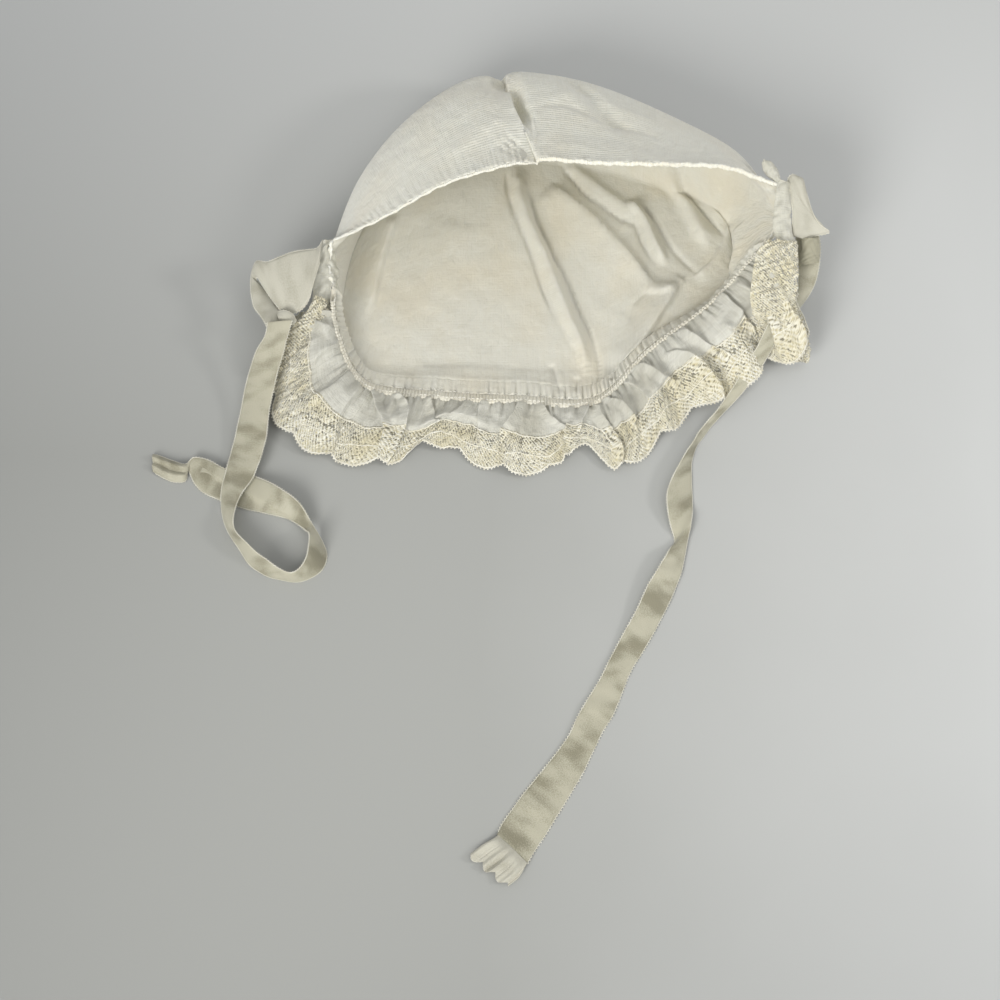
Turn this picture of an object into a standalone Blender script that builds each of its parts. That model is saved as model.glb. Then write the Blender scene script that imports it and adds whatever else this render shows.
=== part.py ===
"""Baby bonnet of fine cotton, lying open on its back: crown, lining, front hem,
gathered neck casing, ruffle, lace edging, and two satin ties with a sewn loop
at each ear corner.

Metres, +Z up. The bonnet rests on the flat patch under its crown, and the
origin is on that patch. +Y points to the top of the crown and the neck edge
lies towards -Y. Left and right are as seen from above, with +X to the right.
"""
import bmesh
import bpy
import numpy as np

for old in list(bpy.data.objects):
    bpy.data.objects.remove(old, do_unlink=True)

# Driving sizes of the sewn bonnet as it lies
BONNET_WIDTH = 0.174      # ear corner to ear corner
BONNET_LENGTH = 0.137     # neck edge to the top of the crown, on the floor
BRIM_HEIGHT = 0.055       # floor to the top of the front edge
BELLY_HEIGHT = 0.026      # floor to the widest line of the crown

# Cloth and trim
CROWN_WALL = 0.0010
LINING_WALL = 0.0010
LAYER_GAP = 0.0004        # clearance between crown and lining
SEAM_GAP = 0.0003         # clearance between sewn neighbours
HEM_WIDTH = 0.0026
CASING_WIDTH = 0.0042
CASING_RIBS = 42
HEM_STATIONS = 52
RUFFLE_WIDTH = 0.0140
LACE_WIDTH = 0.0125
TRIM_WALL = 0.0010
GATHERS = 12
WAVE_CREST = 0.80         # the wave is highest at half the frill's width over this
FRILL_SPAN = (0.045, 0.975)   # share of the neck edge that carries the frill
FRILL_BEND = 0.40         # share of its reach over which it leaves the casing
SCALLOP_PITCH = 0.0180
SCALLOP_DEPTH = 0.0030
WAVE_HEIGHT = 0.0034      # how far a gather lifts the frill off the floor
WAVE_SWAY = 0.0012        # how far it leans along the edge
NET_HOLES = 56

# Satin ties
RIBBON_WIDTH = 0.0155
RIBBON_WALL = 0.0010
RIGHT_TIE_REACH = 0.250   # ear corner to the free end, straight
LEFT_TIE_REACH = 0.125    # ear corner to the lowest point of the lying loop
LOOP_REACH = 0.032        # how far a sewn loop stands out of its ear corner

# Each row is a strip of cloth from the neck edge to the front edge.
# along: -1 left ear corner, 1 right ear corner. x is a share of BONNET_WIDTH,
# y of BONNET_LENGTH, belly_z of BELLY_HEIGHT, neck_z and brim_z of BRIM_HEIGHT.
STRIPS = np.array([
    # along  neck_x  neck_y  neck_z  belly_x belly_y belly_z brim_x  brim_y  brim_z
    [-1.00, -0.486, -0.010,  0.320, -0.495,  0.046,  0.830, -0.481,  0.095,  0.500],
    [-0.75, -0.478, -0.120,  0.160, -0.433,  0.316,  0.850, -0.357,  0.131,  0.690],
    [-0.50, -0.410, -0.272,  0.070, -0.328,  0.520,  0.920, -0.235,  0.186,  0.855],
    [-0.25, -0.244, -0.309,  0.060, -0.186,  0.662,  1.000, -0.125,  0.212,  0.960],
    [ 0.00, -0.061, -0.322,  0.060, -0.062,  0.690,  1.040, -0.029,  0.239,  0.985],
    [ 0.25,  0.113, -0.326,  0.070,  0.109,  0.659,  1.000,  0.114,  0.221,  1.000],
    [ 0.50,  0.238, -0.175,  0.110,  0.290,  0.550,  0.960,  0.256,  0.228,  0.960],
    [ 0.75,  0.384, -0.052,  0.240,  0.446,  0.412,  0.940,  0.399,  0.247,  0.855],
    [ 1.00,  0.508,  0.100,  0.500,  0.526,  0.162,  1.220,  0.517,  0.228,  0.690],
])
FLOOR_START = 0.11        # where a strip meets the floor, as a share of its flat run
FLOOR_END = 0.80          # where it leaves the floor again
FLOOR_PRESS = 0.15        # how firmly it is pressed flat, as a share of BELLY_HEIGHT
CORNER_SHARE = 0.30       # share of the half width over which the floor drops away
STRIP_KNOTS = (0.0, 0.14, 0.52, 0.70, 1.0)
EVENING_PASSES = 7        # how far the layers' direction is evened out

# Dents and rolls of both cloth layers. at is the place along the front edge,
# slant how far it moves by the belly, start and end the places on the strip,
# width a share of BONNET_WIDTH, depth a share of BRIM_HEIGHT, inwards.
DENTS = np.array([
    # at     slant   start  end    width   depth
    [ 0.000, -0.090, 0.660, 1.010, 0.022,  0.115],
    [-0.085, -0.090, 0.600, 0.960, 0.030, -0.035],
    [ 0.085, -0.040, 0.640, 0.990, 0.030, -0.040],
    [ 0.330, -0.200, 0.740, 0.900, 0.020,  0.035],
])

# Loose folds of the lining, standing up from the crown. Places are shares of
# BONNET_WIDTH and BONNET_LENGTH, width of BONNET_WIDTH, height of BRIM_HEIGHT.
LINING_FOLDS = np.array([
    # x0     y0     x1     y1      x2     y2     width  height
    [-0.055, 0.440, -0.010, 0.160, 0.085, -0.150, 0.032, 0.120],
    [-0.020, 0.430,  0.110, 0.190, 0.250,  0.010, 0.022, 0.070],
    [ 0.070, 0.440,  0.190, 0.240, 0.235,  0.130, 0.022, 0.080],
    [ 0.290, 0.420,  0.340, 0.200, 0.360,  0.100, 0.024, 0.090],
    [ 0.395, 0.210,  0.385, 0.110, 0.300, -0.010, 0.026, 0.100],
])

# Outer edge of the lace. along is the share of the neck edge from the left ear
# corner, x a share of BONNET_WIDTH, y of BONNET_LENGTH, z of BRIM_HEIGHT.
FRILL_EDGE = np.array([
    # along  x       y       z
    [0.035, -0.563, -0.051,  0.200],
    [0.065, -0.592, -0.139,  0.127],
    [0.095, -0.615, -0.241,  0.082],
    [0.125, -0.615, -0.343,  0.064],
    [0.155, -0.586, -0.431,  0.055],
    [0.190, -0.517, -0.489,  0.027],
    [0.230, -0.437, -0.522,  0.022],
    [0.270, -0.374, -0.526,  0.022],
    [0.310, -0.322, -0.511,  0.022],
    [0.345, -0.284, -0.468,  0.045],
    [0.380, -0.218, -0.478,  0.027],
    [0.420, -0.138, -0.533,  0.022],
    [0.460, -0.069, -0.551,  0.022],
    [0.500, -0.006, -0.547,  0.022],
    [0.540,  0.055, -0.496,  0.045],
    [0.570,  0.098, -0.489,  0.055],
    [0.600,  0.144, -0.544,  0.022],
    [0.640,  0.207, -0.504,  0.027],
    [0.680,  0.259, -0.449,  0.045],
    [0.720,  0.310, -0.391,  0.064],
    [0.760,  0.368, -0.347,  0.073],
    [0.800,  0.428, -0.318,  0.091],
    [0.840,  0.471, -0.270,  0.127],
    [0.870,  0.506, -0.223,  0.164],
    [0.900,  0.557, -0.226,  0.173],
    [0.930,  0.586, -0.193,  0.200],
    [0.955,  0.583, -0.124,  0.291],
    [0.980,  0.560, -0.044,  0.473],
    [1.000,  0.549,  0.036,  0.655],
])

# Lie of the satin ribbons, from their ear corner. x and y are shares of the
# tie's reach, lift the share of RIBBON_WIDTH by which the lower edge is clear
# of the floor, roll in degrees about the ribbon's own line, breadth the share
# of its full width that is not crumpled together.
RIGHT_TIE = np.array([
    # x       y       lift   roll   breadth
    [ 0.015, -0.022,  1.950,  30.0,  0.30],
    [ 0.036, -0.040,  1.750,  60.0,  0.40],
    [ 0.054, -0.064,  1.330,  90.0,  0.48],
    [ 0.062, -0.091,  0.900,  96.0,  0.55],
    [ 0.056, -0.117,  0.430,  84.0,  0.62],
    [ 0.033, -0.149,  0.120,  55.0,  0.72],
    [-0.001, -0.202,  0.000,  12.0,  0.85],
    [-0.047, -0.258,  0.000,   4.0,  0.88],
    [-0.092, -0.311,  0.000,   4.0,  0.86],
    [-0.128, -0.365,  0.000,  10.0,  0.82],
    [-0.156, -0.419,  0.030,  20.0,  0.78],
    [-0.170, -0.475,  0.040,  36.0,  0.72],
    [-0.163, -0.518,  0.020,  68.0,  0.58],
    [-0.159, -0.540,  0.020, 112.0,  0.50],
    [-0.170, -0.569,  0.000, 158.0,  0.70],
    [-0.191, -0.615,  0.000, 172.0,  0.80],
    [-0.227, -0.684,  0.000, 176.0,  0.82],
    [-0.270, -0.760,  0.000, 178.0,  0.84],
    [-0.312, -0.834,  0.000, 180.0,  0.88],
    [-0.345, -0.893,  0.000, 180.0,  0.93],
    [-0.376, -0.944,  0.000, 180.0,  0.98],
    [-0.399, -0.978,  0.000, 180.0,  1.00],
    [-0.418, -1.000,  0.000, 180.0,  0.90],
    [-0.443, -1.027,  0.000, 180.0,  0.82],
])
LEFT_TIE = np.array([
    # x       y       lift   roll   breadth
    [-0.045,  0.010,  1.130,  20.0,  0.40],
    [-0.100, -0.005,  1.000,  40.0,  0.45],
    [-0.155, -0.055,  0.640,  55.0,  0.50],
    [-0.180, -0.140,  0.240,  36.0,  0.62],
    [-0.182, -0.220,  0.040,  10.0,  0.74],
    [-0.194, -0.305,  0.000,   6.0,  0.78],
    [-0.214, -0.421,  0.000,   8.0,  0.78],
    [-0.236, -0.555,  0.000,  10.0,  0.78],
    [-0.265, -0.709,  0.140,  14.0,  0.76],
    [-0.293, -0.816,  0.150,  24.0,  0.68],
    [-0.277, -0.891,  0.070,  30.0,  0.62],
    [-0.229, -0.962,  0.020,  24.0,  0.66],
    [-0.163, -1.018,  0.000,  30.0,  0.68],
    [-0.086, -1.050,  0.000,  50.0,  0.62],
    [-0.022, -1.008,  0.000, 100.0,  0.52],
    [-0.026, -0.933,  0.000, 130.0,  0.62],
    [-0.068, -0.853,  0.000, 156.0,  0.66],
    [-0.132, -0.803,  0.000, 170.0,  0.68],
    [-0.210, -0.772,  0.000, 176.0,  0.72],
    [-0.278, -0.748,  0.000, 177.0,  0.74],
    [-0.354, -0.721,  0.000, 172.0,  0.72],
    [-0.411, -0.685,  0.000, 165.0,  0.36],
    [-0.462, -0.671,  0.000, 174.0,  0.54],
    [-0.529, -0.671,  0.000, 176.0,  0.55],
])
RIGHT_LOOP = np.array([
    # x       y       lift   roll   breadth
    [ 0.060,  0.000,  2.530,   4.0,  0.46],
    [ 0.180, -0.080,  2.560,  10.0,  0.56],
    [ 0.260, -0.270,  2.415,  12.0,  0.64],
    [ 0.320, -0.470,  2.240,   8.0,  0.70],
    [ 0.450, -0.610,  2.100,   0.0,  0.60],
])
LEFT_LOOP = np.array([
    # x       y       lift   roll   breadth
    [-0.130, -0.290,  1.580,   0.0,  0.78],
    [-0.420, -0.380,  1.600,   6.0,  0.95],
    [-0.680, -0.430,  1.440,  16.0,  1.00],
    [-0.840, -0.550,  1.050,  34.0,  0.96],
    [-0.820, -0.760,  0.730,  52.0,  0.86],
    [-0.700, -0.980,  0.570,  66.0,  0.66],
])


def smooth_rows(knots, rows, at):
    """Cubic Hermite curve through rows of numbers, its slope at each row the
    weighted chord of its neighbours."""
    knots = np.asarray(knots, float)
    rows = np.asarray(rows, float)
    slopes = np.gradient(rows, knots, axis=0)
    span = np.clip(np.searchsorted(knots, at, side="right") - 1, 0, len(knots) - 2)
    column = (-1,) + (1,) * (rows.ndim - 1)
    step = (knots[span + 1] - knots[span]).reshape(column)
    t = (np.asarray(at) - knots[span]).reshape(column) / step
    ease = t * t * (3 - 2 * t)
    lead = t * (1 - t) ** 2 * step
    trail = t * t * (t - 1) * step
    return rows[span] * (1 - ease) + rows[span + 1] * ease + lead * slopes[span] + trail * slopes[span + 1]


def unit(vectors):
    """Vectors of length one."""
    return vectors / np.linalg.norm(vectors, axis=-1, keepdims=True)


def ramp(value):
    """Smooth step from 0 to 1."""
    t = np.clip(value, 0, 1)
    return t * t * (3 - 2 * t)


def crown_surface(across, around):
    """Outer face of the crown and its inward normals, on a grid of strips.

    Each strip runs from the neck edge down to the floor, along it, up round the
    belly and inwards to the front edge. The strip's five points are read from
    STRIPS at its place along the width, and the dents are pressed in along the
    surface normal with a bell-shaped cross-section.
    """
    rows = smooth_rows(STRIPS[:, 0], STRIPS[:, 1:], across)
    size = np.array([BONNET_WIDTH, BONNET_LENGTH, BRIM_HEIGHT])
    neck = rows[:, 0:3] * size
    belly = rows[:, 3:6] * [BONNET_WIDTH, BONNET_LENGTH, BELLY_HEIGHT]
    brim = rows[:, 6:9] * size
    drop = ramp((1 - np.abs(across)) / CORNER_SHARE)[:, None]
    floor = []
    for share in (FLOOR_START, FLOOR_END):
        point = neck + (belly - neck) * share
        point[:, 2:] = point[:, 2:] * (1 - drop) - FLOOR_PRESS * BELLY_HEIGHT * drop
        floor.append(point)
    strips = np.stack([neck, floor[0], floor[1], belly, brim])
    points = smooth_rows(STRIP_KNOTS, strips, around).transpose(1, 0, 2)
    inward = surface_normals(points)
    for at, slant, start, end, width, depth in DENTS:
        reach = (end - around) / (end - start)
        line = at + slant * np.clip(reach, 0, 1)
        offset = (across[:, None] - line) / 2 / width
        fade = ramp((around - start) / 0.07) * ramp((end - around) / 0.04 + 0.5)
        press = depth * BRIM_HEIGHT * np.exp(-offset ** 2) * fade
        points = points + inward * press[..., None]
    points[..., 2] = np.maximum(points[..., 2], 0)
    return points, surface_normals(points)


def surface_normals(points):
    """Unit normals of a grid, from the differences along its two directions,
    evened out over neighbouring points so that layers laid on it stay apart."""
    normals = unit(np.cross(np.gradient(points, axis=0), np.gradient(points, axis=1)))
    for axis in (0, 1) * EVENING_PASSES:
        ends = np.concatenate([normals.take([0], axis), normals, normals.take([-1], axis)], axis)
        count = normals.shape[axis]
        before = ends.take(range(count), axis)
        after = ends.take(range(2, count + 2), axis)
        normals = unit(before + 2 * normals + after)
    return normals


def fold_lift(points, around):
    """Height of the lining's loose folds above its smooth form: a bell over the
    distance to each fold's bent line, only on the lower panel."""
    lift = np.zeros(points.shape[:2])
    for x0, y0, x1, y1, x2, y2, width, height in LINING_FOLDS:
        line = smooth_rows((0, 0.5, 1), [[x0, y0], [x1, y1], [x2, y2]], np.linspace(0, 1, 25))
        line = line * [BONNET_WIDTH, BONNET_LENGTH]
        gaps = np.linalg.norm(points[:, :, None, :2] - line, axis=-1)
        nearest = gaps.argmin(axis=2)
        bell = np.exp(-(gaps.min(axis=2) / (width * BONNET_WIDTH)) ** 2)
        lift = np.maximum(lift, height * BRIM_HEIGHT * bell * (1 - 0.45 * nearest / 24))
    return lift * ramp((0.60 - around) / 0.08) * ramp(around / 0.10)


def shell_grid():
    """The crown's grid, closest at the ear corners, the folds and the belly."""
    left = [-0.985, -0.96, -0.93, -0.88, -0.81, -0.73, -0.64, -0.54, -0.43, -0.32, -0.22, -0.15]
    across = np.concatenate([left, np.linspace(-0.10, 0.80, 21), [0.86, 0.91, 0.95, 0.98, 0.995]])
    around = np.concatenate([[0, 0.045, 0.09, 0.15], np.linspace(0.23, 0.50, 5),
                             np.linspace(0.55, 0.78, 7), [0.85, 0.925, 1.0]])
    return across, around, *crown_surface(across, around)


def edge_line(count, edge, next_to_edge, start, end):
    """Evenly spaced stations on an edge of the crown, from start to end of its
    length: the points, the way out of the cloth, the inward normal and the way
    along the edge."""
    points, inward = shell_grid()[2:]
    line = points[:, edge]
    out = unit(line - points[:, next_to_edge])
    length = np.append(0, np.cumsum(np.linalg.norm(np.diff(line, axis=0), axis=1)))
    even = np.linspace(start, end, count) * length[-1]
    pick = [np.stack([np.interp(even, length, part[:, axis]) for axis in range(3)], axis=1)
            for part in (line, out, inward[:, edge])]
    return pick[0], unit(pick[1]), unit(pick[2]), unit(np.gradient(pick[0], axis=0))


def grid_faces(rows, columns, holes=()):
    """Triangles of a grid of points, leaving out the cells named in holes."""
    faces = []
    for row in range(rows - 1):
        for column in range(columns - 1):
            if (row, column) in holes:
                continue
            a = row * columns + column
            b, c, d = a + columns, a + columns + 1, a + 1
            faces += [(a, b, c), (a, c, d)]
    return faces


def add_material(thing, name, color, roughness, sheen):
    """A Principled cloth finish of its own for one object."""
    material = bpy.data.materials.new(name)
    material.use_nodes = True
    shader = material.node_tree.nodes["Principled BSDF"]
    shader.inputs["Base Color"].default_value = (*color, 1)
    shader.inputs["Roughness"].default_value = roughness
    shader.inputs["Metallic"].default_value = 0
    shader.inputs["Sheen Weight"].default_value = sheen
    thing.data.materials.append(material)


def add_mesh(name, points, faces):
    """A smooth-shaded object from points and faces, in the bonnet's collection."""
    mesh = bpy.data.meshes.new(name)
    mesh.from_pydata(np.asarray(points).reshape(-1, 3).tolist(), [], faces)
    mesh.validate()
    mesh.shade_smooth()
    thing = bpy.data.objects.new(name, mesh)
    collection.objects.link(thing)
    return thing


def add_sheet(name, points, wall, offset, holes=()):
    """A grid of points as an open cloth surface with a Solidify wall."""
    thing = add_mesh(name, points, grid_faces(*points.shape[:2], holes))
    solidify = thing.modifiers.new("wall", "SOLIDIFY")
    solidify.thickness = wall
    solidify.offset = offset
    return thing


def add_shell(name, outer, inner):
    """A closed wall between two grids of the same size, joined round their rim."""
    rows, columns = outer.shape[:2]
    count = rows * columns
    faces = [face[::-1] for face in grid_faces(rows, columns)]
    faces += [tuple(count + corner for corner in face) for face in grid_faces(rows, columns)]
    index = np.arange(count).reshape(rows, columns)
    rim = [*index[:-1, 0], *index[-1, :-1], *index[:0:-1, -1], *index[0, :0:-1]]
    for a, b in zip(rim, rim[1:] + rim[:1]):
        faces += [(a, b, b + count), (a, b + count, a + count)]
    return add_mesh(name, np.concatenate([outer.reshape(-1, 3), inner.reshape(-1, 3)]), faces)


def add_tube(name, rings):
    """A closed sweep: rings of points joined in order, with a fan on each end."""
    count, sides = rings.shape[:2]
    faces = []
    for ring in range(count - 1):
        for side in range(sides):
            after = (side + 1) % sides
            a, b = ring * sides + side, ring * sides + after
            faces += [(a, a + sides, b + sides), (a, b + sides, b)]
    faces.append(tuple(range(sides)))
    faces.append(tuple(range((count - 1) * sides, count * sides))[::-1])
    thing = add_mesh(name, rings, faces)
    form = bmesh.new()
    form.from_mesh(thing.data)
    bmesh.ops.recalc_face_normals(form, faces=form.faces)
    form.to_mesh(thing.data)
    form.free()
    return thing


def oval_rings(middle, out, up, width, height):
    """Five-sided oval rings round a line, width along out and height along up."""
    angle = (np.arange(5) * 2 * np.pi / 5 + np.pi / 5)[None, :, None]
    return (middle[:, None] + out[:, None] * np.cos(angle) * width / 2
            + up[:, None] * np.sin(angle) * height / 2)


def band_points(rows, corner, reach, stations):
    """A ribbon as a grid of three columns along its lie.

    The line runs smoothly through the rows, spaced by their chords. Across it
    the ribbon turns by roll about that line, and its lower edge keeps the
    stated lift over the floor.
    """
    line = rows[:, :2] * reach
    chord = np.append(0, np.cumsum(np.linalg.norm(np.diff(line, axis=0), axis=1)))
    lie = smooth_rows(chord, np.column_stack([line, rows[:, 2:]]), np.linspace(0, chord[-1], stations))
    lift, roll, breadth = lie[:, 2] * RIBBON_WIDTH, np.radians(lie[:, 3]), lie[:, 4] * RIBBON_WIDTH
    lift = np.maximum(lift, 0)
    height = lift + breadth / 2 * np.abs(np.sin(roll)) + RIBBON_WALL / 2
    centre = np.column_stack([lie[:, :2] + corner, height])
    run = unit(np.gradient(centre, axis=0))
    side = unit(np.cross(run, [0, 0, 1]))
    over = np.cross(side, run)
    turned = side * np.cos(roll)[:, None] + over * np.sin(roll)[:, None]
    half = turned * breadth[:, None] / 2
    points = np.stack([centre - half, centre, centre + half], axis=1)
    points[..., 2] = np.maximum(points[..., 2], RIBBON_WALL / 2)
    return points


def build_shell():
    """The crown, and the lining a clearance inside it with its loose folds."""
    across, around, points, inward = shell_grid()
    crown = add_shell("crown", points, points + inward * CROWN_WALL)
    add_material(crown, "ivory dimity", (0.84, 0.81, 0.72), 0.85, 0.3)
    lift = (fold_lift(points, around) + CROWN_WALL + LAYER_GAP)[..., None]
    lining = add_shell("lining", points + inward * lift, points + inward * (lift + LINING_WALL))
    add_material(lining, "cream lining lawn", (0.82, 0.75, 0.60), 0.9, 0.3)


def build_hem():
    """The rolled front hem, a bead that closes both cloths at the front edge."""
    edge, out, inward, run = edge_line(HEM_STATIONS, -1, -2, 0.01, 0.995)
    wall = CROWN_WALL + LAYER_GAP + LINING_WALL
    middle = edge + inward * wall / 2 + out * (SEAM_GAP + HEM_WIDTH / 2)
    rings = oval_rings(middle, out, inward, HEM_WIDTH, wall)
    hem = add_tube("front_hem", rings)
    add_material(hem, "ivory hem", (0.88, 0.86, 0.79), 0.85, 0.3)


def build_casing():
    """The gathered neck casing, a flat channel whose ribs are small swellings."""
    count = 2 * CASING_RIBS
    edge, out, inward, run = edge_line(count, 0, 1, 0.020, 0.998)
    wall = CROWN_WALL + LAYER_GAP + LINING_WALL
    swell = np.where(np.arange(count) % 2, 1.0, 0.80)[:, None, None]
    middle = edge + inward * wall / 2 + out * (SEAM_GAP + CASING_WIDTH / 2)
    rings = oval_rings(middle, out, inward, CASING_WIDTH, wall * swell)
    rings[..., 2] = np.maximum(rings[..., 2], 0)
    casing = add_tube("neck_casing", rings)
    add_material(casing, "ivory casing", (0.84, 0.79, 0.68), 0.85, 0.3)


def frill_surface(stations, places):
    """Surface of the gathered frill round the neck edge, ruffle and lace in one.

    A cross-line leaves the casing outwards and bends to the lace's outer edge,
    a quadratic curve. Gathers lift it off the floor as a wave whose height
    grows with the distance from the casing, and scallops shorten the reach.
    """
    edge, out, inward, run = edge_line(stations, 0, 1, *FRILL_SPAN)
    along = np.linspace(*FRILL_SPAN, stations)
    wall = CROWN_WALL + LAYER_GAP + LINING_WALL
    start = edge + out * (2 * SEAM_GAP + CASING_WIDTH + TRIM_WALL / 2) + inward * wall / 2
    size = [BONNET_WIDTH, BONNET_LENGTH, BRIM_HEIGHT]
    rim = smooth_rows(FRILL_EDGE[:, 0], FRILL_EDGE[:, 1:] * size, along)
    length = np.append(0, np.cumsum(np.linalg.norm(np.diff(rim, axis=0), axis=1)))
    scallop = 1 - np.abs(np.sin(np.pi * length / SCALLOP_PITCH))
    reach = np.linalg.norm(rim - start, axis=1)
    rim = rim - (rim - start) * (scallop * SCALLOP_DEPTH / reach)[:, None]
    away = unit(np.cross(run, [0, 0, 1]))
    bend = start + (away + out) / 2 * (reach * FRILL_BEND)[:, None]
    w = places[None, :, None]
    points = start[:, None] * (1 - w) ** 2 + bend[:, None] * 2 * w * (1 - w) + rim[:, None] * w ** 2
    wave = 0.5 + 0.5 * np.sin(2 * np.pi * GATHERS * along + 1.3 * np.sin(9 * along))
    height = WAVE_HEIGHT * wave[:, None] * np.sin(np.pi * WAVE_CREST * places)
    points[..., 2] = np.maximum(points[..., 2], 0) + height
    sway = WAVE_SWAY * np.sin(2 * np.pi * GATHERS * along + 0.9)[:, None] * places
    points = points + run[:, None] * sway[..., None]
    points[..., 2] = np.maximum(points[..., 2], TRIM_WALL / 2)
    return points


def build_frill():
    """The lawn ruffle, and the pierced lace edging sewn to its outer edge."""
    seam = RUFFLE_WIDTH / (RUFFLE_WIDTH + LACE_WIDTH)
    step = (SEAM_GAP + TRIM_WALL / 2) / 2 / (RUFFLE_WIDTH + LACE_WIDTH)
    stations = 2 * NET_HOLES + 1
    ruffle = add_sheet("ruffle", frill_surface(stations, np.linspace(0, seam - step, 3)), TRIM_WALL, 0.0)
    add_material(ruffle, "white ruffle lawn", (0.86, 0.85, 0.80), 0.85, 0.3)
    places = seam + step + (1 - seam - step) * np.array([0, 0.34, 0.66, 1.0])
    holes = {(station, 1) for station in range(1, stations - 1, 2)}
    lace = add_sheet("lace_edging", frill_surface(stations, places), TRIM_WALL, 0.0, holes)
    add_material(lace, "cream cotton lace", (0.85, 0.79, 0.63), 0.9, 0.2)


def build_ribbons():
    """The two ties, and the sewn loop at each ear corner."""
    left, right = STRIPS[0, 7:9], STRIPS[-1, 7:9]
    size = np.array([BONNET_WIDTH, BONNET_LENGTH])
    ribbons = (
        ("right_tie", RIGHT_TIE, right, RIGHT_TIE_REACH, 44),
        ("left_tie", LEFT_TIE, left, LEFT_TIE_REACH, 50),
        ("right_loop", RIGHT_LOOP, right, LOOP_REACH, 20),
        ("left_loop", LEFT_LOOP, left, LOOP_REACH, 24),
    )
    for name, rows, corner, reach, stations in ribbons:
        ribbon = add_sheet(name, band_points(rows, corner * size, reach, stations), RIBBON_WALL, 0.0)
        add_material(ribbon, name.replace("_", " ") + " satin", (0.83, 0.80, 0.70), 0.4, 0.5)


collection = bpy.data.collections.new("baby_bonnet")
bpy.context.scene.collection.children.link(collection)
build_shell()
build_hem()
build_casing()
build_frill()
build_ribbons()
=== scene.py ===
"""A newborn's cotton bonnet lying open on its back. Cloth, thread, lace and
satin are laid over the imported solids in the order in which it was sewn."""

import bpy
import numpy as np
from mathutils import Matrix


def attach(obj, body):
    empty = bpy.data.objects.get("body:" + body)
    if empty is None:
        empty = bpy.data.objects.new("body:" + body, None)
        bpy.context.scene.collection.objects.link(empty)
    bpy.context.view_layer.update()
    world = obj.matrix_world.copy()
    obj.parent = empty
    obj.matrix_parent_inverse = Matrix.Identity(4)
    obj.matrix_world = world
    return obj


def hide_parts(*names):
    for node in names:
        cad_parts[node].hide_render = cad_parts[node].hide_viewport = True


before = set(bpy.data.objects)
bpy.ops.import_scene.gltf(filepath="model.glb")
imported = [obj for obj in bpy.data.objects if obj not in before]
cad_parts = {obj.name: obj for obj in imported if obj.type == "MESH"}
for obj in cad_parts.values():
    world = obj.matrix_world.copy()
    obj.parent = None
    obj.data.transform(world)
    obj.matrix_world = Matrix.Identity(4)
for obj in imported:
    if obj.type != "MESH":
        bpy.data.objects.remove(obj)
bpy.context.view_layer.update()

# Crown
# The outer cloth is ivory dimity, a thin cotton with fine raised cords, in one
# panel from the neck edge round the back of the head to the front edge. Both
# cloths are tacked together at the centre front, which rolls them into a pinch.
BONNET_WIDTH = 0.174
BONNET_LENGTH = 0.137
BRIM_HEIGHT = 0.055
BELLY_HEIGHT = 0.026
CLOTH_WALL = 0.00035
FLOOR_START = 0.11
FLOOR_END = 0.80
FLOOR_PRESS = 0.15
CORNER_SHARE = 0.30
STRIP_KNOTS = (0.0, 0.14, 0.52, 0.70, 1.0)
STRIPS = np.array([
    # along  neck_x  neck_y  neck_z  belly_x belly_y belly_z brim_x  brim_y  brim_z
    [-1.00, -0.486, -0.010,  0.320, -0.495,  0.046,  0.830, -0.481,  0.095,  0.500],
    [-0.75, -0.478, -0.120,  0.160, -0.433,  0.316,  0.850, -0.357,  0.131,  0.690],
    [-0.50, -0.410, -0.272,  0.070, -0.328,  0.520,  0.920, -0.235,  0.186,  0.855],
    [-0.25, -0.244, -0.309,  0.060, -0.186,  0.662,  1.000, -0.125,  0.212,  0.960],
    [ 0.00, -0.061, -0.322,  0.060, -0.062,  0.678,  1.040, -0.029,  0.239,  0.985],
    [ 0.25,  0.113, -0.326,  0.070,  0.109,  0.636,  1.000,  0.114,  0.221,  1.000],
    [ 0.50,  0.238, -0.175,  0.110,  0.290,  0.524,  0.960,  0.256,  0.228,  0.960],
    [ 0.75,  0.384, -0.052,  0.240,  0.442,  0.386,  0.940,  0.399,  0.247,  0.855],
    [ 1.00,  0.508,  0.100,  0.500,  0.526,  0.162,  1.220,  0.517,  0.228,  0.690],
])
DENTS = np.array([
    # at     slant   start  end    width   depth
    [-0.040, -0.050, 0.640, 0.900, 0.022,  0.030],
    [-0.120, -0.090, 0.600, 0.960, 0.040, -0.003],
    [ 0.085, -0.040, 0.640, 0.990, 0.040,  0.004],
    [ 0.330, -0.200, 0.740, 0.900, 0.020,  0.035],
])
ROLL_REACH = 0.0030            # how far the left cloth rolls over the right one
ROLL_HEIGHT = 0.0012
HOLLOW_DEPTH = 0.0065          # the hollow on the right of the roll's line
TOP_DROP = 0.0080              # how far the left cloth sinks at the top
HEM_DROP = 0.0034              # the same at the hem
PUCKER_HEIGHT = 0.00022        # of the front edge
ROLL_LINE = np.array([
    # around  along
    [0.60, -0.070],
    [0.72, -0.075],
    [0.80, -0.090],
    [0.87, -0.085],
    [0.95, -0.030],
    [1.00,  0.000],
])
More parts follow.
